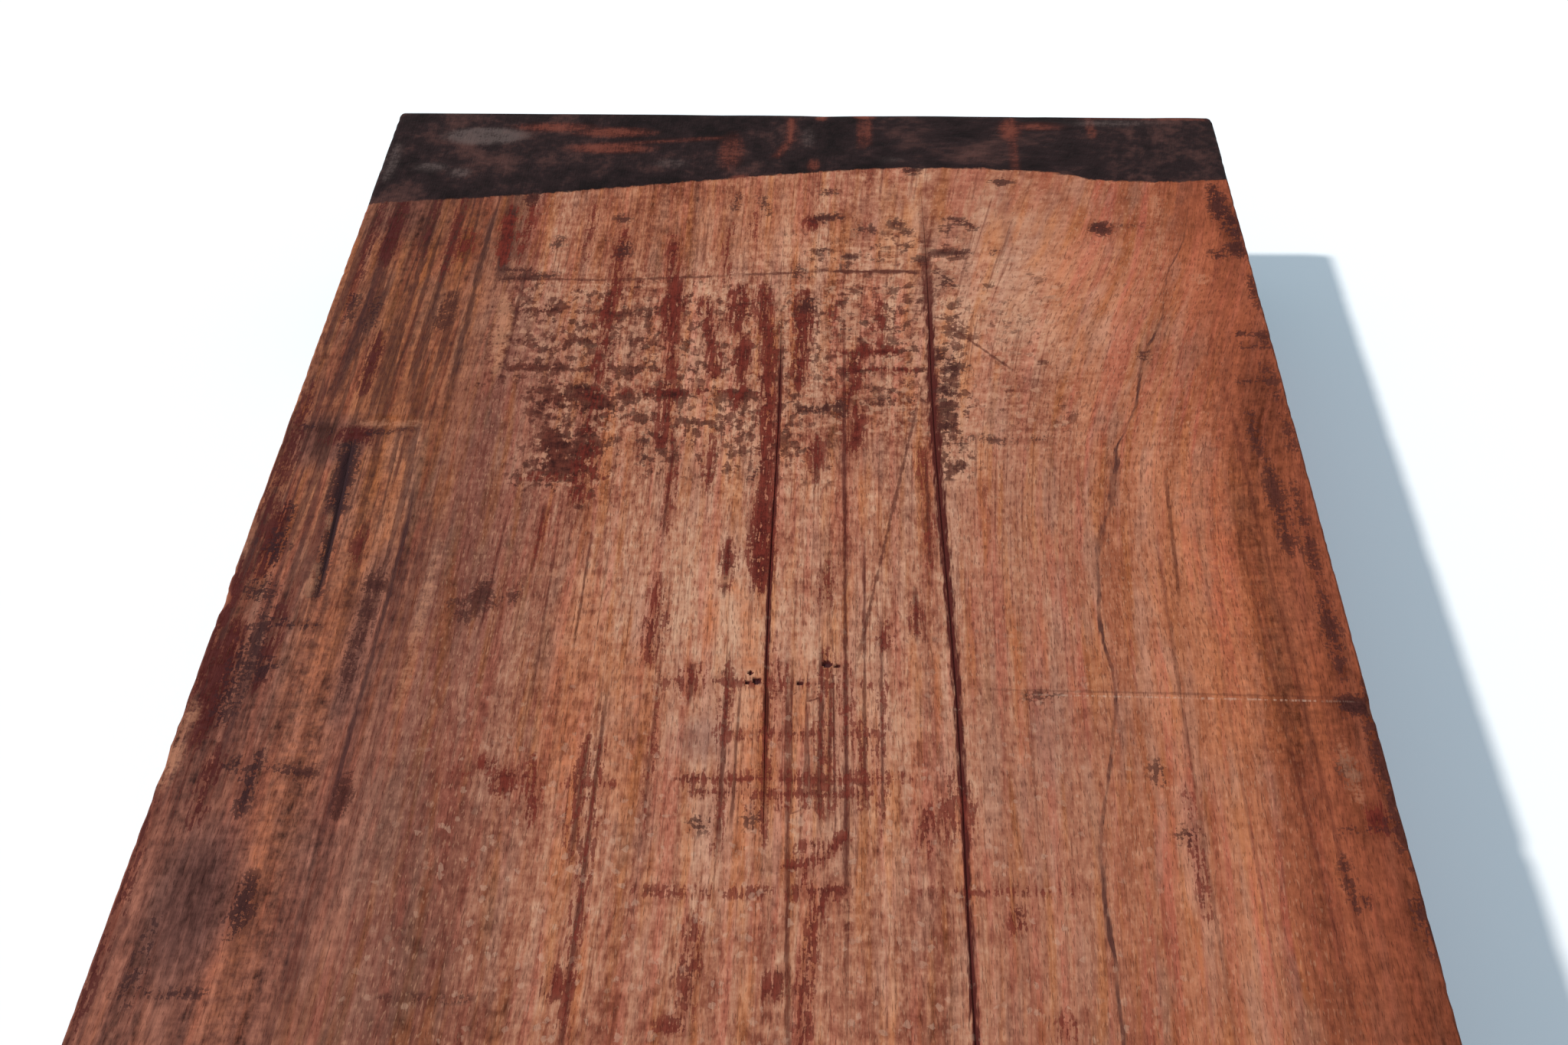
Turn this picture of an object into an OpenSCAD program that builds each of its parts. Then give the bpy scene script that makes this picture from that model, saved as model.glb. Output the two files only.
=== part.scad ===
// Skip-planed hardwood plank with worn edges, drying checks and insect pinholes.
// X runs across the width, Y along the grain towards the sealed end, Z up.
// The origin is the middle of the underside.

/* [Plank] */
// Length along the grain
plank_l = 610; // [450:5:1220]
// Width across the grain
plank_w = 200; // [160:1:300]
// Thickness between the two faces
plank_t = 45; // [25:1:76]

/* [Edges] */
// Radius worn on the four long edges
arris_r = 1.2; // [0.4:0.1:4]
// Radius, seen from above, of the sound corners
corner_r = 1.5; // [0.4:0.1:5]
// Radius, seen from above, of the knocked corner at the right of the sealed end
knocked_corner_r = 4; // [1:0.5:10]

/* [Main check] */
// Distance from the right edge to the top of the long drying check
main_check_from_right = 72.4; // [50:0.2:110]
// Distance from the sealed end to the top of the check
main_check_from_end = 24; // [15:1:60]
// Length of the check along the grain
main_check_l = 372; // [200:1:420]
// Widest opening at the face
main_check_gap = 0.6; // [0.3:0.1:3]
// Greatest depth below the face
main_check_depth = 8; // [4:0.5:15]
// Sideways drift towards the right edge over its length
main_check_drift = 5; // [-8:0.5:8]

/* [Fine check] */
// Distance from the right edge to the top of the fine check near the middle
fine_check_from_right = 103; // [80:0.2:120]
// Distance from the sealed end to the top of the check
fine_check_from_end = 84; // [60:1:120]
// Length of the check along the grain
fine_check_l = 170; // [100:1:250]
// Widest opening at the face
fine_check_gap = 0.4; // [0.2:0.1:2]
// Greatest depth below the face
fine_check_depth = 4; // [2:0.5:12]
// Sideways drift towards the right edge over its length
fine_check_drift = 2; // [-6:0.5:6]

/* [Edge split] */
// Distance from the left edge to the short split
edge_split_from_left = 14.2; // [8:0.2:40]
// Distance from the sealed end to the top of the split
edge_split_from_end = 138; // [80:1:200]
// Length of the split along the grain
edge_split_l = 50; // [20:1:90]
// Widest opening at the face
edge_split_gap = 1.8; // [0.4:0.1:3]
// Greatest depth below the face
edge_split_depth = 6; // [2:0.5:10]
// Sideways drift towards the right edge over its length
edge_split_drift = 2.5; // [-4:0.5:4]

/* [Planer skip] */
// Distance from the right edge to the middle of the hollow that the planer missed
skip_from_right = 104; // [80:1:120]
// Distance from the sealed end to the middle of the hollow
skip_from_end = 110; // [80:1:140]
// Diameter of the hollow
skip_d = 96; // [40:1:110]
// Depth of the hollow at its middle
skip_depth = 0.5; // [0.2:0.1:1.5]

/* [Insect pinholes] */
// Diameter of the larger pinholes
pinhole_d = 1.5; // [0.8:0.1:3]
// Diameter of the smaller pinholes
small_pinhole_d = 0.9; // [0.5:0.1:2]
// Depth that a pinhole runs into the wood
pinhole_depth = 12; // [4:0.5:18]

/* [Chipped edges] */
// Length of the large chip along an edge
chip_l = 11; // [6:0.5:20]
// Depth of the large chip, measured in from the sharp edge
chip_bite = 1.7; // [1:0.1:3]
// Length of a small chip along an edge
small_chip_l = 6; // [3:0.5:12]
// Depth of a small chip, measured in from the sharp edge
small_chip_bite = 1.1; // [0.8:0.1:2]

/* [Hidden] */

timber = [0.52, 0.30, 0.22];
right_x = plank_w / 2;
left_x = -right_x;
end_y = plank_l / 2;
overcut = 1;
round_fn = 48;

// Stations along a check, the share of its opening left at the tips, its sideways wander
// and the length along the grain over which that wander swings to and fro
check_stations = 16;
check_tip = 0.04;
check_wander = 0.35;
check_wander_pitch = 150;

// Rings in the hollow's profile
skip_rings = 8;

// Pinholes as [distance from the right edge, distance from the sealed end, diameter]
pinholes = [
    [103.4, 209, pinhole_d],
    [104.6, 207, small_pinhole_d],
    [105.0, 209.5, small_pinhole_d],
    [91.5, 204.5, pinhole_d],
    [89.7, 205, small_pinhole_d],
    [96.0, 209.5, small_pinhole_d],
];

// Chips as [side of the plank, distance from the sealed end, length, bite]
chips = [
    [-1, 181, small_chip_l, small_chip_bite],
    [-1, 189, chip_l, chip_bite],
    [-1, 224, chip_l, small_chip_bite],
    [1, 214, chip_l, chip_bite],
    [1, 238, small_chip_l, small_chip_bite],
];

// Chip on the sealed end's top edge, from the right edge
end_chip_from_right = 27;

// Cross-section with four worn corners
module section() {
    square([plank_w - 2 * arris_r, plank_t], center = true);
    square([plank_w, plank_t - 2 * arris_r], center = true);
    for (x = [-1, 1], z = [-1, 1])
        translate([x * (right_x - arris_r), z * (plank_t / 2 - arris_r)])
            circle(r = arris_r, $fn = round_fn);
}

// Outline seen from above: three sound corners and the knocked one
module outline() {
    difference() {
        square([plank_w, plank_l], center = true);
        for (x = [-1, 1], y = [-1, 1])
            corner_cut(x, y, x > 0 && y > 0 ? knocked_corner_r : corner_r);
    }
}

// What a corner of the outline loses to a radius
module corner_cut(x, y, r) {
    translate([x * (right_x - r), y * (end_y - r)])
        difference() {
            translate([x * (r + overcut) / 2, y * (r + overcut) / 2])
                square(r + overcut, center = true);
            circle(r = r, $fn = round_fn);
        }
}

module sawn_board() {
    intersection() {
        translate([0, end_y, plank_t / 2])
            rotate([90, 0, 0])
                linear_extrude(plank_l) section();
        linear_extrude(plank_t) outline();
    }
}

// Share of a check's full opening at a point from 0 to 1 along it
function check_open(s) = max(check_tip, sqrt(sin(180 * s)));

// Sideways place of a check's middle at a point from 0 to 1 along it
function check_side(s, l, drift) = drift * s + check_wander * sin(360 * l * s / check_wander_pitch);

// Left lip, root and right lip of a check at a point from 0 to 1 along it
function check_ring(s, l, gap, depth, drift) =
    let (open = check_open(s), x = check_side(s, l, drift), lip = open * gap / 2 * (1 + overcut / depth / open))
    [[x - lip, -l * s, overcut], [x, -l * s, -depth * open], [x + lip, -l * s, overcut]];

// V-shaped groove that opens and closes along the grain, started at the origin
module check_groove(l, gap, depth, drift) {
    rings = [for (i = [0:check_stations]) check_ring(i / check_stations, l, gap, depth, drift)];
    last = 3 * check_stations;
    polyhedron(
        points = [for (ring = rings, point = ring) point],
        faces = concat(
            [[0, 1, 2], [last + 2, last + 1, last]],
            [for (i = [0:check_stations - 1], k = [0:2])
                let (a = 3 * i + k, b = 3 * i + (k + 1) % 3)
                each [[a, a + 3, b], [b, a + 3, b + 3]]]
        )
    );
}

// A check's groove set on the top face
module check(from_right, from_end, l, gap, depth, drift) {
    translate([right_x - from_right, end_y - from_end, plank_t])
        check_groove(l, gap, depth, drift);
}

// Shallow dish, deepest in the middle
module skip_hollow() {
    rim = [for (i = [0:skip_rings]) let (s = i / skip_rings) [s * skip_d / 2, -skip_depth * (1 - s * s)]];
    translate([right_x - skip_from_right, end_y - skip_from_end, plank_t])
        rotate_extrude($fn = 2 * round_fn)
            polygon(concat(rim, [[skip_d / 2, overcut], [0, overcut]]));
}

module pinhole(from_right, from_end, d) {
    translate([right_x - from_right, end_y - from_end, plank_t - pinhole_depth])
        cylinder(d = d, h = pinhole_depth + overcut, $fn = round_fn);
}

// Ball whose cap bites an edge that runs through the origin, with the wood towards inward
module chip_ball(inward, l, bite) {
    r = (l * l / 4 + bite * bite) / (2 * bite);
    translate(-inward / norm(inward) * (r - bite))
        sphere(r = r, $fn = 2 * round_fn);
}

module edge_chip(side, from_end, l, bite) {
    translate([side * right_x, end_y - from_end, plank_t])
        chip_ball([-side, 0, -1], l, bite);
}

module end_chip() {
    translate([right_x - end_chip_from_right, end_y, plank_t])
        chip_ball([0, -1, -1], chip_l, small_chip_bite);
}

module plank() {
    color(timber)
        difference() {
            sawn_board();
            check(main_check_from_right, main_check_from_end, main_check_l,
                  main_check_gap, main_check_depth, main_check_drift);
            check(fine_check_from_right, fine_check_from_end, fine_check_l,
                  fine_check_gap, fine_check_depth, fine_check_drift);
            check(plank_w - edge_split_from_left, edge_split_from_end, edge_split_l,
                  edge_split_gap, edge_split_depth, edge_split_drift);
            skip_hollow();
            for (hole = pinholes)
                pinhole(hole[0], hole[1], hole[2]);
            for (chip = chips)
                edge_chip(chip[0], chip[1], chip[2], chip[3]);
            end_chip();
        }
}

plank();
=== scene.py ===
"""Looks of a skip-planed hardwood plank: waxed end, drying checks, worn edges and weathered grain.

Sizes in the classes are millimetres on the plank: x across from its middle, along from its sealed end.
"""
import logging
import math
from dataclasses import dataclass, replace
from enum import Enum
from typing import Any, Sequence, Union

import bmesh
import bpy
import numpy as np
from mathutils import Matrix, Vector, noise


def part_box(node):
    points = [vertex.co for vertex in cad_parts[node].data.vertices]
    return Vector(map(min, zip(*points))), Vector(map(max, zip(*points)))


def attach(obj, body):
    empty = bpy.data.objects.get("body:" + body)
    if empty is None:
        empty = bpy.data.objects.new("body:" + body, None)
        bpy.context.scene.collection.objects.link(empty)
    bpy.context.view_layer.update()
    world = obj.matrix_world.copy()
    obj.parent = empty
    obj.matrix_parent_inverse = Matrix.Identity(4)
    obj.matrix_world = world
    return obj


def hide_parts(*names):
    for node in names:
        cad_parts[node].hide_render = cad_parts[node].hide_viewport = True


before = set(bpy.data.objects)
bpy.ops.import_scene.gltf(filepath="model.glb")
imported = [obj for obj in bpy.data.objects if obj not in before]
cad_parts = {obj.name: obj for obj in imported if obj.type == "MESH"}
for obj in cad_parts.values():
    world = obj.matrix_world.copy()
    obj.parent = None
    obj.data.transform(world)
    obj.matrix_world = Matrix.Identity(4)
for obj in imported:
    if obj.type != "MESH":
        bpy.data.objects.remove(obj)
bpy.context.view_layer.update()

MM = 0.001
log = logging.getLogger("plank")

Colour = tuple[float, float, float, float]
Ramp = tuple[tuple[float, Colour], ...]
Span = tuple[float, float]
Number = Union["Value", float]


def paint(red: int, green: int, blue: int) -> Colour:
    """Turns a colour as a screen shows it into the linear one that a shader takes.

    Args:
        red: Red from 0 to 255.
        green: Green from 0 to 255.
        blue: Blue from 0 to 255.

    Returns:
        The linear colour, opaque.
    """
    shares = (channel / 255 for channel in (red, green, blue))
    linear = [share / 12.92 if share <= 0.04045 else ((share + 0.055) / 1.055) ** 2.4 for share in shares]
    return (linear[0], linear[1], linear[2], 1.0)


class Face(Enum):
    """The plank's six faces, each with its place in the bake map: left, bottom, right and top."""

    TOP = (0.005, 0.405, 0.995, 0.995)
    UNDERSIDE = (0.005, 0.185, 0.995, 0.395)
    LEFT_EDGE = (0.005, 0.130, 0.995, 0.175)
    RIGHT_EDGE = (0.005, 0.075, 0.995, 0.120)
    SEALED_END = (0.005, 0.005, 0.490, 0.065)
    SAWN_END = (0.510, 0.005, 0.995, 0.065)

    @classmethod
    def facing(cls, normal: Vector) -> "Face":
        """Finds the face that looks most nearly along a direction.

        Args:
            normal: The direction, of any length.

        Returns:
            The face.
        """
        pairs = ((cls.LEFT_EDGE, cls.RIGHT_EDGE), (cls.SAWN_END, cls.SEALED_END), (cls.UNDERSIDE, cls.TOP))
        axis = max(range(3), key=lambda index: abs(normal[index]))
        return pairs[axis][int(normal[axis] > 0)]

    def place(self, share: Vector) -> tuple[float, float]:
        """Places a point of this face in the bake map.

        Args:
            share: The point as shares of the plank's width, length and thickness.

        Returns:
            The two map coordinates.
        """
        left, bottom, right, top = self.value
        if self in (Face.TOP, Face.UNDERSIDE):
            run, rise = share.y, share.x
        elif self in (Face.LEFT_EDGE, Face.RIGHT_EDGE):
            run, rise = share.y, share.z
        else:
            run, rise = share.x, share.z
        return (left + run * (right - left), bottom + rise * (top - bottom))


@dataclass(frozen=True)
class Check:
    """A drying check: a V groove in the top face, open down to a shallow depth; its dark inside is painted
    shade.
    """

    x: float
    start: float
    length: float
    gap: float
    clear: float
    drift: float
    wander: float = 0.35
    pitch: float = 150.0

    def middle(self, along: np.ndarray) -> np.ndarray:
        """Gives the place of the groove's middle across the plank.

        Args:
            along: Distances from the sealed end.

        Returns:
            The x of the middle at each distance.
        """
        run = np.clip(along - self.start, 0, self.length)
        return self.x + self.drift * run / self.length + self.wander * np.sin(2 * np.pi * run / self.pitch)

    def opening(self, along: np.ndarray) -> np.ndarray:
        """Gives the share of its full opening that the groove has.

        Args:
            along: Distances from the sealed end.

        Returns:
            The share at each distance, 0 beyond the tips.
        """
        share = np.clip((along - self.start) / self.length, 0, 1)
        return np.sqrt(np.clip(np.sin(np.pi * share), 0, 1))


@dataclass(frozen=True)
class Pinhole:
    """A round hole that an insect left in the top face, sunk to a shallow depth; its dark inside is painted
    shade.
    """

    x: float
    along: float
    diameter: float
    depth: float = 0.6


@dataclass(frozen=True)
class Chip:
    """A bite out of a top edge, shaped like a ball's cap."""

    side: int
    along: float
    length: float
    bite: float


@dataclass(frozen=True)
class Line:
    """A thin straight mark from one point to another, each across and along."""

    start: tuple[float, float]
    end: tuple[float, float]
    width: float = 0.6
    strength: float = 0.8
    fade_rate: float = 6.0

    def measure(self, x: np.ndarray, along: np.ndarray) -> tuple[np.ndarray, np.ndarray]:
        """Measures where points lie beside the line.

        Args:
            x: Their places across the plank.
            along: Their distances from the sealed end.

        Returns:
            Their distance to one side of the line, below 0 on the other, and how strongly the line
            shows there.
        """
        run = np.subtract(self.end, self.start)
        length = np.hypot(*run)
        step = run / length
        across = x - self.start[0]
        down = along - self.start[1]
        share = (across * step[0] + down * step[1]) / length
        shown = self.strength * np.clip(np.minimum(share, 1 - share) * self.fade_rate, 0, 1)
        return across * step[1] - down * step[0], shown


def vein(
    x: float, start: float, end: float, width: float = 0.6, lean: float = 0.0, strength: float = 0.8,
) -> Line:
    """Makes a line along the grain, which leans to the right by a distance over its length."""
    return Line((x, start), (x + lean, end), width, strength)


@dataclass(frozen=True)
class WaxCoat:
    """The dark wax that seals one end, brushed on to a slanting line."""

    edge: tuple[tuple[float, float], ...] = (
        (-100, 46), (-61, 41), (-30, 35.5), (2, 30), (20, 27.8), (48, 28), (61, 29.6), (69, 32.4), (100, 32),
    )
    thickness: float = 0.12
    slope: float = 1.5

    def reach(self, x: np.ndarray) -> np.ndarray:
        """Gives how far the wax comes from the sealed end.

        Args:
            x: Places across the plank.

        Returns:
            The distance at each place.
        """
        across, along = zip(*self.edge)
        return np.interp(x, across, along)

    def step(self, x: np.ndarray, along: np.ndarray) -> np.ndarray:
        """Gives how far bare wood lies below the wax, 0 on the wax itself."""
        return self.thickness * np.clip((along - self.reach(x)) / self.slope + 0.5, 0, 1)


@dataclass(frozen=True, kw_only=True)
class Mark:
    """A mark on the top face, which thins out towards its edge."""

    strength: float = 0.8
    edge: float = 2.4
    rim: float = 0.55

    def depth(self, x: np.ndarray, along: np.ndarray) -> np.ndarray:
        """Measures how far inside the mark points lie, below 0 outside it."""
        raise NotImplementedError

    def density(self, x: np.ndarray, along: np.ndarray) -> np.ndarray:
        """Gives the mark's density at points.

        Args:
            x: Their places across the plank.
            along: Their distances from the sealed end.

        Returns:
            The density, from 0 well outside the mark to its strength well inside.
        """
        return self.strength * np.clip(self.rim + self.depth(x, along) / self.edge, 0, 1)


@dataclass(frozen=True)
class Streak(Mark):
    """A mark along the grain, with rounded ends."""

    x: float
    start: float
    end: float
    width: float
    lean: float = 0.0

    def depth(self, x: np.ndarray, along: np.ndarray) -> np.ndarray:
        """Measures how far inside the mark points lie.

        Args:
            x: Their places across the plank.
            along: Their distances from the sealed end.

        Returns:
            The distance to the mark's edge, below 0 outside it.
        """
        share = (along - self.start) / (self.end - self.start)
        held = np.clip(share, 0, 1)
        aside = abs(x - self.x - self.lean * held)
        beyond = abs(share - held) * (self.end - self.start)
        return self.width * np.sqrt(held * (1 - held)) - np.hypot(aside, beyond)


@dataclass(frozen=True)
class Blot(Mark):
    """A round or oval mark."""

    x: float
    along: float
    width: float
    length: float

    def depth(self, x: np.ndarray, along: np.ndarray) -> np.ndarray:
        """Measures how far inside the mark points lie, below 0 outside it."""
        reach = np.hypot((x - self.x) / self.width, (along - self.along) / self.length) * 2
        return (1 - reach) * min(self.width, self.length) / 2


@dataclass(frozen=True)
class Trail(Mark):
    """A mark of even width along a line through points."""

    width: float
    points: tuple[tuple[float, float], ...]

    def depth(self, x: np.ndarray, along: np.ndarray) -> np.ndarray:
        """Measures how far inside the mark points lie.

        Args:
            x: Their places across the plank.
            along: Their distances from the sealed end.

        Returns:
            The distance to the mark's edge, below 0 outside it.
        """
        nearest = np.full(x.shape, np.inf)
        for (start_x, start), (end_x, end) in zip(self.points, self.points[1:]):
            run_x = end_x - start_x
            run = end - start
            share = ((x - start_x) * run_x + (along - start) * run) / (run_x ** 2 + run ** 2)
            share = np.clip(share, 0, 1)
            nearest = np.minimum(nearest, np.hypot(x - start_x - run_x * share, along - start - run * share))
        return self.width / 2 - nearest


@dataclass(frozen=True)
class Plate(Mark):
    """A square-cornered part of the face."""

    left: float
    right: float
    start: float
    end: float

    def depth(self, x: np.ndarray, along: np.ndarray) -> np.ndarray:
        """Measures how far inside the part points lie, below 0 outside it."""
        across = np.minimum(x - self.left, self.right - x)
        return np.minimum(across, np.minimum(along - self.start, self.end - along))


def shown(strength: float, *marks: Mark) -> tuple[Mark, ...]:
    """Gives marks one strength."""
    return tuple(replace(mark, strength=strength) for mark in marks)


MAIN_CHECK = Check(x=27.6, start=24, length=372, gap=0.6, clear=0.28, drift=5)
FINE_CHECK = Check(x=-3, start=84, length=170, gap=0.4, clear=0.25, drift=2)
EDGE_SPLIT = Check(x=-85.8, start=138, length=50, gap=1.8, clear=0.5, drift=2.5)
CHECKS = (MAIN_CHECK, FINE_CHECK, EDGE_SPLIT)

PINHOLES = (
    Pinhole(-3.4, 209, 1.5),
    Pinhole(-4.6, 207, 0.9),
    Pinhole(-5.0, 209.5, 0.9),
    Pinhole(8.5, 204.5, 1.5),
    Pinhole(10.3, 205, 0.9),
    Pinhole(4.0, 209.5, 0.9),
)

CHIPS = (
    Chip(-1, 181, 5, 0.9),
    Chip(-1, 189, 9, 1.3),
    Chip(-1, 224, 9, 0.8),
    Chip(1, 214, 8, 1.1),
    Chip(1, 238, 5, 0.8),
)

GROWTH_LINE = (
    (0, 98), (35, 90.5), (60, 86), (75, 81), (95, 77), (107, 72.5), (125, 69), (145, 63), (155, 62),
    (168, 58.5), (192, 56.3), (210, 57.3), (232, 54), (250, 51.5), (272, 51.8), (300, 51),
)

GRAIN_LEAN = ((0, 34), (60, 24), (110, 12), (160, 3), (210, 0), (300, -4))

GROWTH_WIDTH = (
    (0, 0.4), (90, 0.5), (104, 0.9), (112, 1.0), (130, 0.6), (142, 1.1), (154, 1.9), (162, 0.8), (170, 1.8),
    (178, 0.8), (192, 0.9), (215, 0.7), (235, 0.7), (255, 0.9), (300, 0.7),
)

VEINS = (
    vein(-97.6, 150, 250, 0.8, 0, 0.6), vein(-91.4, 150, 240, 1.0, 0.6, 0.6),
    vein(-77.6, 44, 132, 1.4, 0.6), vein(-70, 44, 130, 1.4, 0.8), vein(-59.4, 70, 122, 0.8),
    vein(-45.4, 158, 182, 0.6), vein(-35.6, 166, 204, 0.5), vein(-28.8, 205, 300, 0.7, 0.6, 0.9),
    vein(-20.2, 200, 246, 0.5, 0.0, 0.6), vein(-10.2, 168, 188, 0.8, 0.0, 0.9), vein(-6.2, 210, 246, 0.5),
    vein(2.6, 202, 242, 0.6), vein(5.6, 134, 154, 0.9), vein(9.2, 204, 246, 0.6),
    vein(14.8, 165, 246, 0.6, 0.2), vein(24, 182, 200, 0.7), vein(68.6, 160, 296, 0.6, -1.2, 0.4),
    vein(76.6, 150, 286, 0.6, -1.6, 0.35), vein(87.6, 104, 290, 0.9, 1.4, 0.45),
)

THREADS = (
    vein(-91.8, 46, 128, 1.6), vein(-83, 46, 134, 1.5), vein(-70.4, 150, 250, 0.8),
    vein(-66, 44, 80, 2.2, 1.4, 0.9), vein(-52, 160, 200, 0.5, -0.6), vein(-42, 165, 216, 0.5, 0.6, 0.6),
    vein(-30.8, 222, 252, 0.9), vein(-22.4, 136, 172, 0.6), vein(-14.6, 204, 216, 0.8),
    vein(-8.6, 200, 252, 0.8, 0.6, 0.9), vein(1.4, 198, 300, 0.8, 3.0), vein(5.2, 206, 240, 0.5, 0.0, 0.7),
    vein(7.4, 196, 248, 0.8, 0.4, 0.9), vein(10.4, 80, 290, 0.7, 2.1, 0.9), vein(17.8, 190, 246, 0.5),
    vein(26.8, 140, 180, 0.6), vein(72.6, 146, 190, 0.7, -2.0, 0.7), vein(83.6, 140, 296, 0.7, 2.0, 0.4),
)

CUTS = (
    Line((26.6, 118), (12.4, 212), 0.6),
    Line((32, 95), (46, 114), 0.7),
    Line((30, 210.4), (100, 211.4), 0.6, 0.4),
    Line((-64, 78.6), (-38, 79), 0.9, 0.7),
    Line((-42, 79), (-12, 76), 1.0, 0.8),
    Line((-18, 76.4), (8, 74), 1.0, 0.8),
    Line((2, 74), (29, 74.4), 1.6, 1.0),
)

# The pale line along the scratch's lit lip is a painted highlight.
SCRATCH_HIGHLIGHTS = (
    Line((40, 211.6), (99, 212.4), 0.45, 0.4),
)

PATCH = (
    Plate(-52, 34, 77, 138, strength=1.0, edge=14), Plate(-66, -46, 78, 114, strength=0.9, edge=12),
    Plate(-54, -32, 114, 158, strength=0.85, edge=12), Plate(-12, 8, 124, 154, edge=12),
    Plate(26, 38, 62, 149, strength=1.0, edge=10), Plate(-10, 32, 60, 84, strength=0.6, edge=12),
    Plate(34, 62, 66, 142, strength=0.75, edge=14), Plate(70, 92, 126, 228, strength=0.5, edge=10),
    Plate(-84, -73, 138, 290, strength=0.6, edge=5),
)

RESIN = (
    Blot(-40, 94, 4, 12),
    Trail(2.4, ((-28, 60), (-27, 76), (-26.2, 88), (-25.4, 104), (-25, 128), (-24.6, 139)), strength=0.88),
    Streak(-10.4, 116, 128, 2.2),
    Trail(3.0, ((-5.2, 97), (-4.6, 120), (-4.2, 150), (-3.6, 166)), strength=0.95),
    Streak(-4.4, 156, 186, 4.6, 0.6, strength=1.05),
    Trail(2.4, ((15, 104), (12.6, 110), (14, 116), (11.8, 122), (14, 130), (12.6, 141)), strength=0.95),
    Streak(5.4, 134, 152, 2.6), Streak(24, 186, 197, 1.8), Streak(18.4, 192, 201, 2.4),
    Trail(1.8, ((-9, 222.4), (16, 222.4)), strength=0.66),
    Trail(2.2, ((-14, 233), (0, 232.6), (22, 232.2)), strength=0.74),
    Trail(1.8, ((-12, 236), (16, 235.8)), strength=0.68),
    Trail(1.6, ((-20, 257.6), (0, 257.4)), strength=0.62), Trail(1.4, ((4.8, 247.8), (7, 247.2))),
    Blot(-43.4, 234, 4.0, 6.4), Streak(-39.2, 228, 244, 2.6, 1.0), Blot(38, 262.4, 2.2, 4.6),
    Streak(-94.6, 160, 184, 4.4), Streak(-83.4, 42, 70, 1.4), Blot(96, 240, 4, 7),
    *shown(
        0.9, Trail(2.2, ((-39.3, 58), (-39.6, 70), (-39, 84), (-40.2, 96), (-39.2, 104), (-39.6, 118))),
        Trail(2.4, ((-19, 86), (-17.6, 98), (-15.6, 115))), Streak(-7, 79, 101, 3.4, 0.8),
        Streak(1.6, 98, 120, 3.4), Trail(2.0, ((10.6, 106.6), (20, 105.6))), Streak(-10, 170, 185, 2.0),
        Trail(2.0, ((2.6, 251.8), (6.4, 251.2), (8.6, 249.6), (11.6, 245.6))), Blot(1.6, 276, 2.6, 5),
        Blot(3.2, 53.4, 4.6, 6), Streak(-78.4, 166, 180, 1.6), Streak(-98.8, 176, 214, 3.0),
        Blot(-85.6, 138, 8, 6), Streak(-91.4, 44, 74, 3.6),
    ),
    *shown(1.0, Streak(-26.2, 76, 102, 4.4), Streak(-10.4, 98, 119, 2.8), Streak(-66, 46, 73, 3.2, 0.8)),
    *shown(
        0.85, Streak(-12, 79, 100, 4.6), Streak(2.2, 82, 104, 4.4), Streak(-22.4, 181, 206, 2.0),
        Trail(2.6, ((4.6, 257.4), (11.6, 257))), Trail(1.8, ((8.6, 258), (7, 266), (6.2, 276), (6, 300))),
        Streak(-95.4, 194, 228, 5.0), Streak(-61.4, 42, 72, 2.0), Streak(-86.8, 100, 124, 2.4),
        Blot(-74.4, 64, 3, 10), Streak(-77.6, 42, 80, 1.5),
    ),
    *shown(
        0.6, Streak(8, 84, 104, 1.6), Streak(-8.4, 228, 250, 1.6), Streak(-14.8, 204, 214, 5.0),
        Streak(31.6, 233, 247, 1.8), Blot(43.8, 283, 3, 5), Streak(-99, 238, 300, 2.4),
    ),
    *shown(
        0.55, Streak(18, 80, 106, 3.0), Trail(2.0, ((-34, 121.4), (-12, 121))), Streak(17.8, 205, 246, 1.6),
        Trail(1.4, ((-20, 209.8), (20, 209.6))), Trail(1.4, ((-4, 238.6), (12, 238.4))),
        Streak(-11, 262, 282, 4.0), Streak(-97.4, 116, 172, 4.0), Streak(66.6, 233, 262, 1.8),
    ),
    *shown(
        0.5, Streak(-39.6, 119, 137, 4.0), Streak(-39, 139, 161, 4.8), Streak(8.4, 200, 242, 3.4),
        Streak(-20, 205, 245, 1.6), Trail(1.4, ((24, 257), (50, 255.8))),
    ),
    *shown(
        0.7, Trail(1.6, ((-50, 151.4), (-35, 151.4))), Streak(-1.2, 196, 248, 1.2),
        Streak(14.6, 218, 240, 1.8), Trail(1.6, ((5.6, 251), (5.8, 257))), Streak(24.6, 238, 250, 2.4),
        Streak(28.4, 230, 247, 2.0), Blot(-51.5, 232.5, 2.0, 2.4), Blot(-12.5, 283.6, 5, 3.6),
        Streak(-88.6, 186, 214, 2.4), Streak(-91.4, 226, 246, 3.0), Streak(-96, 44, 90, 1.8),
        Streak(-15.4, 52, 80, 1.8),
    ),
    *shown(
        0.75, Trail(1.8, ((12, 113), (24, 112.8))), Blot(-47, 230.4, 4.0, 3.4),
        Streak(-28.4, 224, 300, 1.6), Blot(-30, 276, 4, 6),
    ),
    *shown(
        0.65, Streak(-22, 136, 170, 1.8), Streak(-20.4, 184, 204, 1.4), Streak(-15, 136, 156, 2.0),
        Streak(26, 140, 156, 2.0), Streak(27, 158, 178, 1.4), Streak(8, 176, 190, 2.4),
        Streak(-8.6, 204, 226, 2.2), Streak(0.4, 203, 216, 2.4), Streak(12, 204, 225, 1.4),
        Streak(-31, 222, 252, 2.0), Trail(1.4, ((-33, 234.6), (-26, 234.4))),
        Trail(1.4, ((-33, 243), (-27, 242.6))), Trail(1.8, ((-91, 140), (-82, 140.4))),
        Streak(-47, 44, 72, 1.4), Streak(-10, 48, 62, 1.6), Streak(-45, 160, 178, 1.2),
    ),
)

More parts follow.
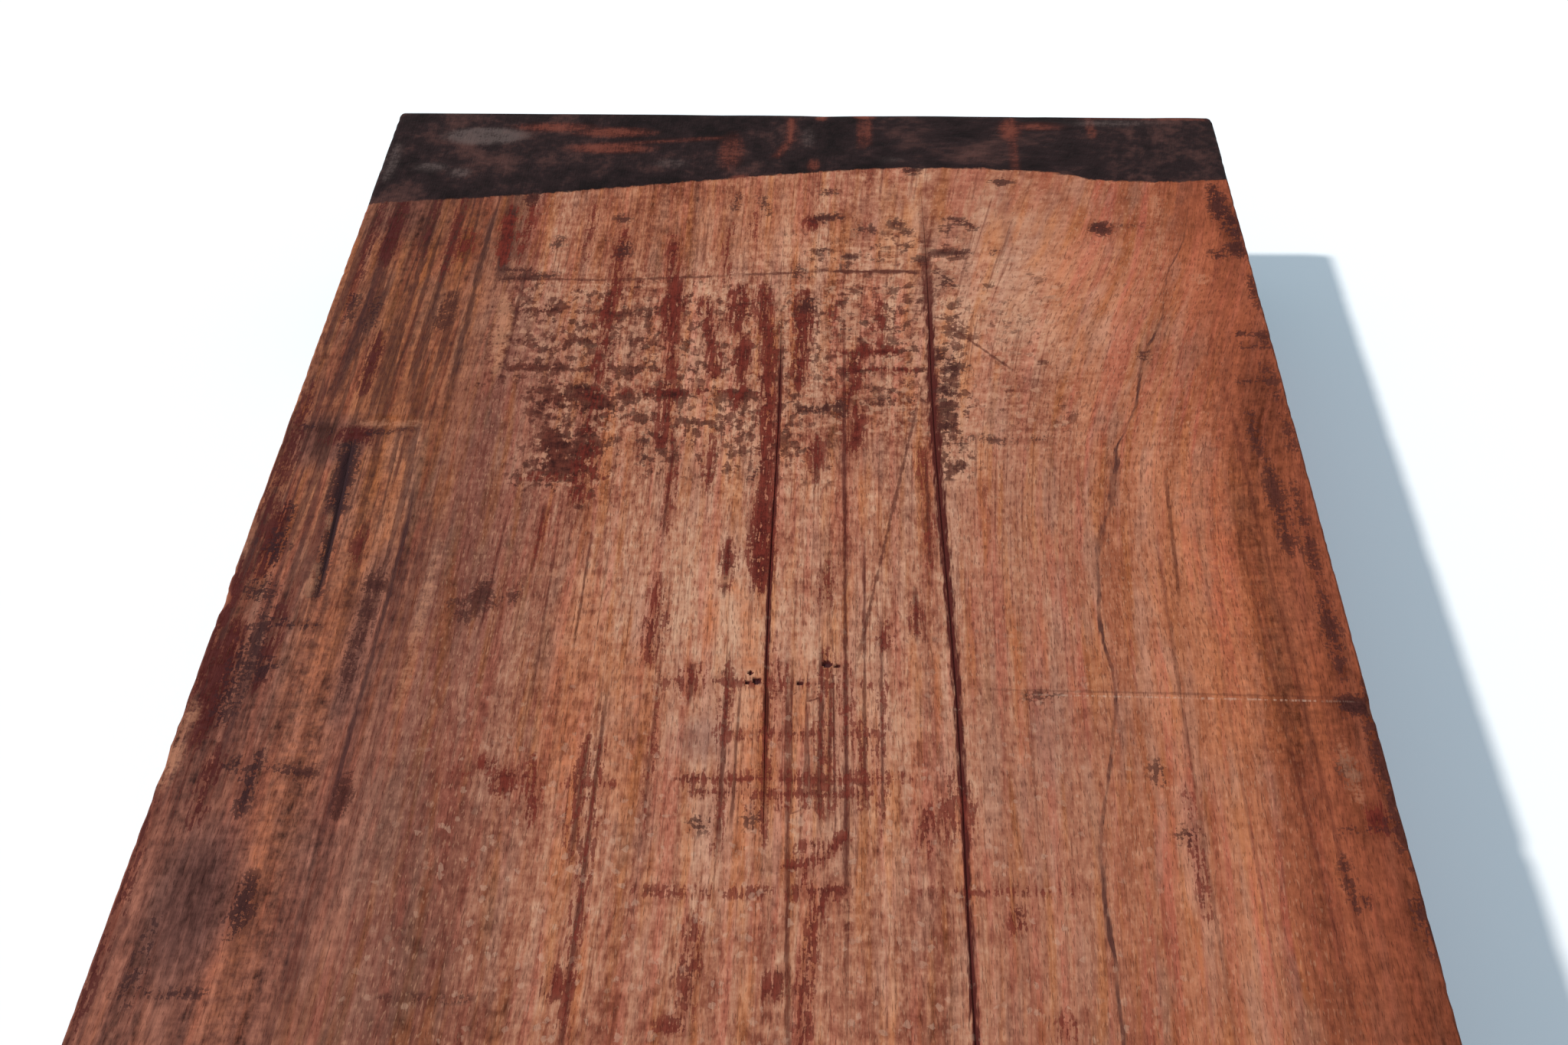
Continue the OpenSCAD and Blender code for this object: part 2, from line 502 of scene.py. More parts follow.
STAINS = (
    Blot(46.8, 33.6, 5, 4.4), Blot(6.6, 39, 4, 2.6), Blot(13.6, 56.6, 2.6, 4.6), Blot(16.6, 56.6, 2.0, 3.8),
    Blot(22, 53.4, 3, 4), Blot(24.6, 57, 2.4, 3), Blot(33.4, 55.6, 2.4, 3.6), Blot(43.6, 65.4, 2.2, 2.4),
    Blot(11.6, 68.4, 2.0, 2.4), Blot(6, 66, 2, 2.4), Blot(18, 70, 2.2, 2.6), Blot(27, 70, 2.6, 3.6),
    Blot(-40, 52.4, 4.0, 4.4), Blot(-38.8, 66, 3.6, 7), Blot(-53.6, 63.6, 2.4, 5), Blot(-43, 62, 2.4, 2.6),
    Streak(-14.6, 39, 48, 1.6), Streak(-9, 40, 50, 1.6, 2.0), Blot(10.6, 73.4, 2.2, 4),
    Blot(0.2, 75, 2.6, 7), Blot(2.8, 87.4, 4.6, 6), Blot(32.4, 78, 4.6, 8), Blot(31.6, 108.6, 4, 7),
    Blot(33.4, 112.4, 6, 5), Blot(31.4, 127.4, 4, 3), Blot(31.6, 132.6, 3, 3), Blot(33.4, 138, 3, 3),
    Blot(32.6, 146, 2.4, 3), Trail(1.4, ((36, 136.4), (43, 138.4), (50, 137))), Blot(10, 126, 3, 7),
    Blot(8.4, 100, 2.6, 4), Blot(11.5, 98, 2, 2.4), Blot(22.5, 97.5, 2, 2.4), Blot(-6.6, 150, 2.6, 4),
    Blot(-28.8, 140.4, 1.8, 5), Blot(-28.4, 145, 1.6, 3), Trail(1.2, ((-58.6, 189.4), (-50.4, 188.8))),
    Blot(-56.4, 193, 2, 3.6), Streak(-47.6, 183, 190, 1.0), Blot(-73, 184.6, 4, 6),
    Streak(-74.4, 84, 101, 4.0, strength=0.55),
    Trail(3.4, ((-85.9, 142), (-85, 152), (-84.5, 162)), strength=1.15),
    Blot(-93.2, 174.4, 4.6, 4, strength=0.75), Blot(-88, 231.4, 2.4, 3),
    Trail(1.0, ((-94, 279), (-82, 279))), Streak(-69, 233, 243, 2.2, strength=0.75), Blot(93, 66.4, 3.4, 5),
    Blot(99.4, 80, 3, 14), Blot(93.4, 98.2, 3.4, 2.4), Blot(98, 99, 3, 3),
    Trail(1.6, ((93, 103), (99, 102.6))), Trail(1.8, ((91.6, 116), (98, 116)), strength=0.85),
    Streak(91.4, 126, 142, 2.2, strength=0.85), Streak(92.4, 143, 173, 2.8),
    Streak(96.4, 150, 182, 2.2, strength=0.65), Streak(96.4, 183, 207, 2.8), Blot(90.8, 257, 2.4, 2.4),
    Streak(89, 248, 260, 1.2), Blot(93, 229, 3, 6, strength=0.55), Blot(72.5, 107, 2.2, 3.6),
    Blot(-11.4, 243, 3, 3.6),
    *shown(
        0.6, Trail(1.6, ((-99, 36), (-61, 40.6))), Streak(-91.5, 182, 222, 3.0),
        Streak(-93.4, 160, 180, 3.0), Streak(-93.4, 198, 224, 2.4), Blot(62.5, 230, 3, 5),
        Blot(65.8, 244, 4, 4.4), Blot(45, 212, 5, 2.6), Trail(2.0, ((97, 110), (98.4, 140))),
    ),
    *shown(
        1.0, Blot(67.8, 54.8, 5.2, 6.0), Trail(1.8, ((-64, 78.8), (-58.6, 78.2))),
        Streak(95.6, 34, 58, 4.6, 1.2), Streak(99.6, 206, 252, 3.4),
    ),
    *shown(
        0.7, Trail(1.0, ((70, 54), (78, 53.4))), Blot(31, 121, 3.4, 8), Streak(-73.4, 176, 216, 2.6),
        Blot(-93.6, 186.5, 5, 7), Trail(1.6, ((-82, 232), (-77, 232.6))), Streak(-92.4, 264, 282, 2.0),
    ),
    *shown(1.1, Blot(-62.2, 42.4, 3.0, 6.4), Blot(97, 213.4, 6.0, 5), Blot(26, 28.4, 4.0, 3.4)),
    *shown(
        0.95, Trail(3.2, ((4.6, 51.4), (9.2, 50.6))), Trail(1.8, ((-58, 77.6), (-53, 77.4))),
        Blot(-53.6, 187, 2.8, 8), Trail(2.0, ((-95, 135.6), (-90.6, 136.8))),
    ),
    *shown(
        0.9, Trail(2.4, ((34.4, 51), (37, 52.6), (39.4, 55))), Trail(1.6, ((-64, 75), (-58.6, 75))),
        Trail(2.2, ((31, 66.4), (37, 66))), Trail(2.2, ((2.4, 127.6), (7, 127))),
        Trail(1.4, ((-91, 194.6), (-86, 195.8), (-81.4, 196))), Trail(1.4, ((-90, 206), (-86.6, 206.4))),
        Streak(-84.6, 228, 243, 2.6), Trail(2.2, ((-79.4, 232.2), (-77, 233.6), (-75.2, 232.8))),
        Streak(-79.6, 255, 269, 3.6), Blot(97.6, 63, 5, 8), Blot(99, 260, 3.4, 12), Blot(-3.2, 242, 2, 3),
    ),
    *shown(
        0.66, Trail(1.6, ((9, 123.6), (22, 123.2))), Blot(-88.6, 208, 3, 4),
        Trail(1.2, ((90, 243), (98, 241))),
    ),
    *shown(
        0.5, Streak(-90, 86, 101, 3.6), Streak(-95, 84, 98, 3.0), Trail(1.2, ((-55, 279.4), (-43, 279))),
    ),
    *shown(
        1.05, Trail(1.2, ((-83, 137.2), (-78, 136.6), (-74.4, 135.4))),
        Trail(1.5, ((-84.4, 164), (-84, 176), (-83.5, 188))), Blot(97.6, 53, 5.6, 14),
    ),
)

SCARS = (
    Blot(38.6, 156.6, 2.0, 3.2, strength=1.1), Streak(82.4, 36, 74, 3.4, -3.0, strength=0.5),
    Streak(93, 220, 238, 3.0, 0.8, strength=0.5),
    Trail(3.0, ((-85, 134), (-79, 134.4), (-74, 134)), strength=0.55), Streak(-63.4, 170, 217, 1.6),
    Blot(-84.8, 165.6, 1.8, 5), Blot(-84.9, 184, 1.8, 8), Blot(-98.8, 230, 4, 14, strength=0.7),
    Blot(-98.4, 219.4, 4, 7, strength=0.65), Streak(-62.6, 84, 117, 4.0, 2.0),
    Blot(-10.4, 182, 2.8, 2.4, strength=0.95), Blot(-42, 180, 2, 2.4),
    Blot(-37, 199.4, 2.4, 2.4, strength=0.9),
    *shown(0.6, Blot(88, 77, 4.4, 7), Blot(-18, 174, 3, 6), Blot(13, 262, 4, 12), Blot(22.4, 219, 5, 14)),
)

# Paler, greyer patches of the top face: part the wood's own bleached tone, part painted sheen from the light
# it reflects.
BLEACH_AND_SHEEN = (
    Streak(65, 20, 330, 14, strength=0.55, edge=10), Plate(36, 62, 56, 108, strength=0.72, edge=14),
    Plate(30, 64, 34, 64, strength=0.4, edge=12), Plate(-62, -40, 82, 114, strength=0.55, edge=12),
    Plate(-34, 2, 124, 152, strength=0.4, edge=14), Plate(-32, 26, 150, 206, strength=0.28, edge=14),
    Streak(-6, 166, 268, 14, strength=0.7, edge=8), Streak(-78, 134, 212, 10, strength=0.75, edge=5),
    Plate(-100, -91, 244, 290, strength=0.45, edge=6), Plate(70, 92, 58, 98, strength=0.5, edge=10),
    Plate(40, 64, 46, 80, strength=1.0, edge=10), Blot(-5, 188, 14, 36, strength=1.2, edge=5),
    Plate(76, 90, 62, 84, strength=0.6, edge=8), Streak(15, 160, 236, 8, strength=0.7, edge=5),
    Blot(65, 210, 10, 30, edge=5), Plate(60, 72, 60, 160, edge=8),
    Blot(-76, 194, 9, 40, strength=1.0, edge=4), Blot(6, 68, 24, 20, strength=0.95, edge=8),
    Plate(30, 42, 84, 152, strength=0.9, edge=6), Streak(15, 160, 264, 12, strength=0.45, edge=8),
)

SHADES = (
    Plate(-48, -12, 32, 74, strength=0.48, edge=14), Plate(-96, -62, 44, 70, strength=0.22, edge=12),
    Blot(15, 132, 18, 32, strength=0.5, edge=8), Streak(-46, 204, 300, 13, strength=0.45, edge=8),
    Streak(94, 110, 250, 6, strength=0.25, edge=4), Streak(30, 190, 300, 11, strength=0.2, edge=8),
    Streak(-36, 22, 174, 12, strength=0.55, edge=8),
    *shown(
        0.4, Blot(45, 124, 20, 28, edge=8), Plate(20, 40, 34, 50, edge=10),
        Streak(-86, 148, 264, 12, edge=8),
    ),
    *shown(
        0.3, Streak(85, 110, 230, 4, edge=4), Plate(22, 40, 52, 80, edge=8),
        Streak(-95, 140, 220, 8, edge=6), Streak(-75, 206, 296, 10, edge=8),
    ),
    *shown(
        0.35, Streak(69.4, 150, 300, 4, -1.0, edge=3), Streak(63.6, 103, 147, 5, -1.0, edge=3),
        Blot(-14, 162, 14, 28, edge=8),
    ),
)

SPECKS = (
    Plate(-64, -6, 80, 121, strength=0.35, edge=12), Plate(-53, -31, 117, 158, strength=0.34, edge=10),
    Plate(-51, -35, 119.5, 130, strength=0.92, edge=5), Plate(-49, -36, 138, 153, strength=0.72, edge=6),
    Streak(-46.4, 122, 146, 6), Streak(-39.6, 124, 162, 5, strength=0.66),
    Plate(-30, 6, 117, 150, strength=0.42, edge=12), Plate(-6, 28, 80, 130, strength=0.32, edge=12),
    Plate(0, 28, 58, 80, strength=0.3, edge=10), Plate(30, 37, 60, 148, strength=0.34, edge=7),
    Plate(36, 60, 66, 142, strength=0.15, edge=12), Plate(28.5, 35, 104, 150, strength=0.55, edge=4),
    Trail(3.6, ((-57, 113.4), (-28, 113)), strength=0.66, edge=3),
    Trail(4.4, ((-52, 123), (-8, 122)), edge=4), Trail(2.6, ((8, 107), (24, 105.6)), edge=3),
    Trail(2.6, ((10, 113), (26, 112.6)), edge=3), Trail(3.0, ((2, 127), (24, 124)), strength=0.75, edge=3),
    Trail(4.0, ((-62, 91), (-30, 92)), strength=0.6, edge=3),
    Trail(4.0, ((-62, 103), (-30, 103)), strength=0.62, edge=3),
    Trail(2.6, ((-40, 131), (6, 132)), strength=0.6, edge=3),
)

VEILS = (
    Blot(-87.4, 261, 11, 27, strength=0.9, edge=5), Plate(-100, -84, 40, 60, strength=0.6, edge=10),
    Blot(-91, 140, 18, 16, strength=0.7, edge=5), Streak(47, 34, 70, 3.0, strength=0.3),
    Blot(-12.4, 224, 7, 10, strength=0.45, edge=3), Streak(-73.2, 172, 222, 3.4, strength=0.7),
    Blot(45.6, 218, 6, 22, strength=0.25, edge=4),
)

RUST = (
    Trail(1.2, ((-9, 183), (-6.5, 188), (-5.5, 195), (-4.8, 205)), strength=1.1),
    Streak(-12, 188, 200, 2.0), Streak(-35, 180, 238, 8.0, strength=0.55, edge=5),
    Streak(-24, 200, 242, 8.0, strength=0.5, edge=5), Streak(-3.4, 204, 248, 5.0, strength=0.6, edge=4),
    Streak(-78.6, 138, 292, 9.0, strength=0.45, edge=5), Plate(-48, 0, 32, 68, strength=0.35, edge=14),
    Blot(-80, 133, 13, 4), Plate(70, 90, 146, 226, strength=0.45, edge=10),
    Plate(-90, -66, 44, 132, strength=0.35, edge=10),
)

SMEARS = (
    Trail(1.2, ((-50, 17), (-20, 13)), strength=0.7), Blot(-17, 20, 6, 18, strength=0.5),
    Trail(1.4, ((-3, 3), (-3, 14), (-6, 22))), Streak(14.2, 2, 18, 1.4), Streak(15.8, 3, 16, 1.2),
    Trail(1.2, ((50.6, 1), (50.4, 28)), strength=0.85), Blot(50, 8, 5, 11, strength=0.7),
    Blot(57, 6, 11, 4, strength=0.6), Streak(69.8, 1, 12, 1.4), Blot(-14, 33, 4, 2.4, strength=1.1),
    *shown(
        0.66, Blot(-60, 8, 18, 4.6), Blot(-46, 10.4, 18, 5), Blot(-46, 18.4, 19, 5.4),
        Trail(1.6, ((68, 1), (98, 1.4))),
    ),
    *shown(1.0, Blot(4.3, 1.4, 2.4, 3.4), Blot(15, 1.2, 4, 2.6), Blot(2.8, 26.5, 1.8, 4)),
)

SCUFFS = (
    Blot(-77, 12.6, 20, 9), Streak(1.4, 6, 18, 3, strength=0.45), Blot(21, 23.4, 6, 2.6, strength=0.5),
    Blot(74, 4, 22, 4, strength=0.5), Blot(-31, 26, 8, 5, strength=0.4),
    *shown(0.6, Blot(-88, 28.6, 8, 5), Blot(-80.6, 31, 5, 5), Streak(-97.4, 16, 36, 3)),
)

FIELDS = {
    "patch": PATCH, "speck": SPECKS, "bleach": BLEACH_AND_SHEEN, "shade": SHADES, "resin": RESIN, "stain": STAINS,
    "veil": VEILS, "scar": SCARS, "rust": RUST, "smear": SMEARS, "scuff": SCUFFS,
}

LINES = {"vein": VEINS, "thread": THREADS, "cut": CUTS, "graze": SCRATCH_HIGHLIGHTS}


@dataclass(frozen=True)
class Swell:
    """Smooth noise over the mesh, for relief: the size of its swells along x, y and z, and its depth."""

    size: tuple[float, float, float]
    seed: float
    depth: float

    def over(self, points: np.ndarray) -> np.ndarray:
        """Makes the noise.

        Args:
            points: Points, one in each row.

        Returns:
            A number from -1 to 1 for each point.
        """
        places = (points / np.array(self.size) + self.seed).tolist()
        return np.array([noise.noise(place) for place in places])

    def waves(self, points: np.ndarray) -> np.ndarray:
        """Gives relief that swings between 0 and twice the depth."""
        return self.depth * (1 + self.over(points))

    def bites(self, points: np.ndarray, least: float = 0.0) -> np.ndarray:
        """Gives relief where the noise lies above a level, at most as deep as the depth."""
        return self.depth * np.clip(self.over(points) - least, 0, 1)


RAISED_GRAIN = Swell((2.6, 90, 50), 3.1, depth=0.05)
PLANER_WAVES = Swell((45, 14, 50), 8.7, depth=0.05)
TORN_FIBRES = Swell((2.6, 3.4, 50), 5.3, depth=0.35)
SAW_MARKS = Swell((60, 4.5, 60), 1.7, depth=0.09)
SAW_WANDER = Swell((70, 55, 30), 4.4, depth=0.12)
EDGE_WEAR = Swell((30, 9, 30), 2.9, depth=0.14)
EDGE_CRUMBS = Swell((12, 2.4, 12), 6.1, depth=0.18)
SPLINTERS = Swell((1.2, 5, 1.2), 7.7, depth=0.6)


@dataclass
class PlankBody:
    """The plank's own mesh: a sawn board with its checks, pinholes, chips and worn edges."""

    low: Vector
    high: Vector
    wax: WaxCoat
    arris: float = 1.2
    arris_steps: int = 3
    sharp_deg: float = 40.0
    knocked_corner: float = 4.0
    rows: int = 400
    row_power: float = 1.25
    columns: int = 40
    top_share: int = 4
    tiers: int = 8
    pinhole_share: int = 4
    pinhole_margin: float = 1.4
    hollow_x: float = -4.0
    hollow_along: float = 110.0
    hollow_radius: float = 48.0
    hollow_depth: float = 0.5
    shut_gap: float = 0.08
    line_reach: float = 1.7
    far_aside: float = 9.0
    torn_reach: float = 1.2
    wear_least: float = 0.08
    wear_reach: float = 2.2
    wear_hold: float = 1.4
    wear_fade: float = 2.5
    splinter_along: float = 228.0
    splinter_run: float = 11.0
    splinter_x: float = -90.0
    flush: float = 0.001
    straight: float = 0.999

    def __post_init__(self) -> None:
        """Reads the board's size from the frame."""
        self.width, self.length, self.thickness = ((self.high - self.low) / MM)[:]

    def build(self) -> bpy.types.Object:
        """Builds the plank.

        Returns:
            The plank's object, at the origin.
        """
        shell = self.lattice()
        self.map_faces(shell)
        mesh = bpy.data.meshes.new("plank_timber")
        shell.to_mesh(mesh)
        shell.free()
        self.shape(mesh)
        mesh.shade_smooth()
        mesh.set_sharp_from_angle(angle=math.radians(self.sharp_deg))
        piece = bpy.data.objects.new("plank_timber", mesh)
        bpy.context.scene.collection.objects.link(piece)
        return piece

    def lattice(self) -> bmesh.types.BMesh:
        """Makes the square board with rounded edges, cut into rows and columns.

        Returns:
            The board, in millimetres.
        """
        shell = bmesh.new()
        bmesh.ops.create_cube(shell, size=1.0)
        bmesh.ops.scale(shell, vec=(self.width, self.length, self.thickness), verts=shell.verts)
        bmesh.ops.translate(shell, vec=(0, 0, self.thickness / 2), verts=shell.verts)
        bmesh.ops.bevel(
            shell, geom=shell.edges, offset=self.arris, offset_type="OFFSET", segments=self.arris_steps,
            profile=0.5, affect="EDGES", material=-1,
        )
        for axis, parts in ((1, self.rows), (0, self.columns), (2, self.tiers)):
            self.cut(shell, self.edges_along(shell, axis), parts)
        on_top = [
            edge for edge in self.edges_along(shell, 0, least=self.arris)
            if all(self.is_top(vert.co) for vert in edge.verts)
        ]
        self.cut(shell, on_top, self.top_share)
        self.gather_rows(shell)
        self.cut(shell, self.edges_near_pinholes(shell), self.pinhole_share)
        return shell

    def gather_rows(self, shell: bmesh.types.BMesh) -> None:
        """Draws the rows together towards the sealed end, where most of the marks are.

        Args:
            shell: The board, whose points are moved.
        """
        inner = self.length - 2 * self.arris
        for vert in shell.verts:
            share = (self.length / 2 - self.arris - vert.co.y) / inner
            if 0 < share < 1:
                vert.co.y = self.length / 2 - self.arris - inner * share ** self.row_power

    def is_top(self, place: Vector) -> bool:
        """Tells whether a point of the square board lies in its top face."""
        return place.z > self.thickness - self.flush

    def edges_along(
        self, shell: bmesh.types.BMesh, axis: int, least: float = 20.0,
    ) -> list[bmesh.types.BMEdge]:
        """Finds the edges that run along an axis.

        Args:
            shell: The board.
            axis: 0 for x, 1 for y and 2 for z.
            least: The shortest edge to take.

        Returns:
            The edges.
        """
        found = []
        for edge in shell.edges:
            run = edge.verts[1].co - edge.verts[0].co
            if run.length > least and abs(run[axis]) > self.straight * run.length:
                found.append(edge)
        return found

    def edges_near_pinholes(self, shell: bmesh.types.BMesh) -> list[bmesh.types.BMEdge]:
        """Finds the edges of the top face round the pinholes.

        Args:
            shell: The board.

        Returns:
            The edges.
        """
        found = set()
        for face in shell.faces:
            middle = face.calc_center_median()
            if not self.is_top(middle):
                continue
            along = self.length / 2 - middle.y
            for hole in PINHOLES:
                if math.hypot(middle.x - hole.x, along - hole.along) < hole.diameter + self.pinhole_margin:
                    found.update(face.edges)
        return list(found)

    def cut(self, shell: bmesh.types.BMesh, edges: list[bmesh.types.BMEdge], parts: int) -> None:
        """Cuts edges, and the faces between them, into equal parts."""
        bmesh.ops.subdivide_edges(shell, edges=edges, cuts=parts - 1, use_grid_fill=True)

    def map_faces(self, shell: bmesh.types.BMesh) -> None:
        """Gives each face of the square board its place in the bake map.

        Args:
            shell: The board.
        """
        layer = shell.loops.layers.uv.new("OFBake")
        for face in shell.faces:
            side = Face.facing(face.normal)
            for loop in face.loops:
                place = loop.vert.co
                share = Vector((
                    place.x / self.width + 0.5, place.y / self.length + 0.5, place.z / self.thickness,
                ))
                loop[layer].uv = side.place(share)

    def shape(self, mesh: bpy.types.Mesh) -> None:
        """Moves the square board's points inwards to its real surface, in metres.

        Args:
            mesh: The board's mesh, in millimetres.
        """
        flat = np.empty(len(mesh.vertices) * 3, np.float32)
        mesh.vertices.foreach_get("co", flat)
        square = flat.reshape(-1, 3).astype(float)
        points = square.copy()
        along = self.length / 2 - square[:, 1]
        top = square[:, 2] > self.thickness - self.flush
        sunk = np.zeros(len(points))
        points[top, 0], sunk[top] = self.open_checks(square[top, 0], along[top])
        sunk = np.where(top, self.drill(points[:, 0], along, sunk), 0)
        points[:, 2] -= np.where(top, sunk + self.top_relief(points, along), 0)
        self.roughen_sides(points, square)
        worn = self.wear_edges(points, square)
        worn = np.maximum(worn, self.knock_chips(points, along))
        self.round_corners(points)
        carried = {
            "top": np.clip((square[:, 2] - self.thickness + self.arris) / self.arris, 0, 1),
            "end": np.clip((abs(square[:, 1]) - self.length / 2 + self.arris) / self.arris, 0, 1),
            "sunk": sunk,
            "worn": worn,
        }
        for name, marks in FIELDS.items():
            carried[name] = np.max([mark.density(points[:, 0], along) for mark in marks], axis=0)
        for name, lines in LINES.items():
            carried[f"{name}_aside"], carried[name] = self.trace(lines, points[:, 0], along)
        for name, values in carried.items():
            layer = mesh.attributes.new(name, "FLOAT", "POINT")
            layer.data.foreach_set("value", values.astype(np.float32))
        mesh.vertices.foreach_set("co", (points * MM).astype(np.float32).ravel())
        mesh.update()

    def trace(
        self, lines: Sequence[Line], x: np.ndarray, along: np.ndarray,
    ) -> tuple[np.ndarray, np.ndarray]:
        """Finds the line that lies nearest to each point.

        Args:
            lines: The lines.
            x: The points' places across the plank.
            along: Their distances from the sealed end.

        Returns:
            How far aside each point lies, in widths of its line, and how strongly that line shows there.
        """
        nearest = np.full(x.shape, np.inf)
        widths = np.full(x.shape, self.far_aside)
        shown = np.zeros_like(x)
        for line in lines:
            aside, strength = line.measure(x, along)
            nearer = (strength > 0) & (abs(aside) < nearest)
            nearest = np.where(nearer, abs(aside), nearest)
            widths = np.where(nearer, aside / line.width, widths)
            shown = np.where(nearer, strength * (abs(aside) < self.line_reach), shown)
        return widths, shown

    def open_checks(self, x: np.ndarray, along: np.ndarray) -> tuple[np.ndarray, np.ndarray]:
        """Draws the top face's columns to the lips and roots of the checks.

        Args:
            x: Places of the square board's points across the plank.
            along: Their distances from the sealed end.

        Returns:
            The points' new places across the plank, and how deep each lies in a check.
        """
        edge = self.width / 2 - self.arris
        pitch = 2 * edge / (self.columns * self.top_share)
        stops = [(-edge, np.full_like(x, -edge))]
        depth = np.zeros_like(x)
        for check in sorted(CHECKS, key=lambda check: check.x):
            root = -edge + pitch * round((check.x + check.drift / 2 + edge) / pitch)
            opening = check.opening(along)
            middle = check.middle(along)
            half = np.maximum(check.gap / 2 * opening, self.shut_gap)
            stops += [(root - pitch, middle - half), (root, middle), (root + pitch, middle + half)]
            depth += check.clear * opening * np.clip(1 - abs(x - root) / pitch, 0, 1)
        stops.append((edge, np.full_like(x, edge)))
        moved = x.copy()
        for (start, left), (end, right) in zip(stops, stops[1:]):
            share = (x - start) / (end - start)
            moved = np.where((share >= 0) & (share <= 1), left + share * (right - left), moved)
        return moved, depth

    def drill(self, x: np.ndarray, along: np.ndarray, sunk: np.ndarray) -> np.ndarray:
        """Sinks the points that lie in a pinhole.

        Args:
            x: Places across the plank.
            along: Distances from the sealed end.
            sunk: Depths so far.

        Returns:
            The depths with the pinholes.
        """
        for hole in PINHOLES:
            inside = np.hypot(x - hole.x, along - hole.along) < hole.diameter / 2
            sunk = np.where(inside, np.maximum(sunk, hole.depth), sunk)
        return sunk

    def top_relief(self, points: np.ndarray, along: np.ndarray) -> np.ndarray:
        """Gives how far the top face's skin lies below the board's highest plane.

        Args:
            points: The board's points.
            along: Their distances from the sealed end.

        Returns:
            The depth of each point.
        """
        x = points[:, 0]
        away = ((x - self.hollow_x) ** 2 + (along - self.hollow_along) ** 2) / self.hollow_radius ** 2
        hollow = self.hollow_depth * np.clip(1 - away, 0, None)
        torn = TORN_FIBRES.bites(points, least=0.15) * np.clip(self.torn_reach - away, 0, 1)
        planed = RAISED_GRAIN.waves(points) + PLANER_WAVES.waves(points)
        return hollow + self.wax.step(x, along) + planed + torn

    def roughen_sides(self, points: np.ndarray, square: np.ndarray) -> None:
        """Gives the underside, long edges and ends their saw marks.

        Args:
            points: The board's points, which are moved.
            square: The square board's points.
        """
        saw = SAW_MARKS.waves(square) + SAW_WANDER.waves(square)
        under = square[:, 2] < self.flush
        points[:, 2] += np.where(under, saw, 0)
        for axis, half in ((0, self.width / 2), (1, self.length / 2)):
            outer = abs(square[:, axis]) > half - self.flush
            points[:, axis] -= np.where(outer, np.sign(square[:, axis]) * saw, 0)

    def wear_edges(self, points: np.ndarray, square: np.ndarray) -> np.ndarray:
        """Wears the edges of the board unevenly.

        Args:
            points: The board's points, which are moved.
            square: The square board's points.

        Returns:
            How worn each point is, from 0 to 1.
        """
        half = np.array([self.width / 2, self.length / 2, self.thickness / 2])
        centred = square - np.array([0, 0, half[2]])
        gaps = half - abs(centred)
        nearest = np.sort(gaps, axis=1)
        near = np.exp(-(nearest[:, 0] ** 2 + nearest[:, 1] ** 2) / self.wear_reach ** 2)
        along = half[1] - square[:, 1]
        splintered = np.exp(-((along - self.splinter_along) / self.splinter_run) ** 2)
        splintered *= (square[:, 0] < self.splinter_x) * (square[:, 2] > half[2])
        bite = self.wear_least + EDGE_WEAR.bites(square) + EDGE_CRUMBS.bites(square)
        bite += splintered * SPLINTERS.bites(square, least=-0.5)
        for axis in range(3):
            pull = near * bite * np.clip(self.wear_hold - gaps[:, axis] / self.wear_fade, 0, 1)
            points[:, axis] -= np.sign(centred[:, axis]) * pull
        return np.clip(near * bite, 0, 1)

    def knock_chips(self, points: np.ndarray, along: np.ndarray) -> np.ndarray:
        """Bites the chips out of the top edges.

        Args:
            points: The board's points, which are moved.
            along: Their distances from the sealed end.

        Returns:
            How much of a chip each point is, from 0 to 1.
        """
        chipped = np.zeros(len(points))
        for chip in CHIPS:
            radius = (chip.length ** 2 / 4 + chip.bite ** 2) / (2 * chip.bite)
            reach = (radius - chip.bite) / math.sqrt(2)
            centre = np.array([
                chip.side * (self.width / 2 + reach), self.length / 2 - chip.along, self.thickness + reach,
            ])
            offset = points - centre
            distance = np.linalg.norm(offset, axis=1)
            inside = distance < radius
            points[inside] = centre + offset[inside] * (radius / distance[inside])[:, None]
            chipped[inside] = 1
        return chipped

    def round_corners(self, points: np.ndarray) -> None:
        """Rounds the knocked corner at the right of the sealed end, seen from above.

        Args:
            points: The board's points, which are moved.
        """
        radius = self.knocked_corner
        centre = np.array([self.width / 2 - radius, self.length / 2 - radius])
        offset = points[:, :2] - centre
        distance = np.linalg.norm(offset, axis=1)
        outside = (offset > 0).all(axis=1) & (distance > radius)
        points[outside, :2] = centre + offset[outside] * (radius / distance[outside])[:, None]


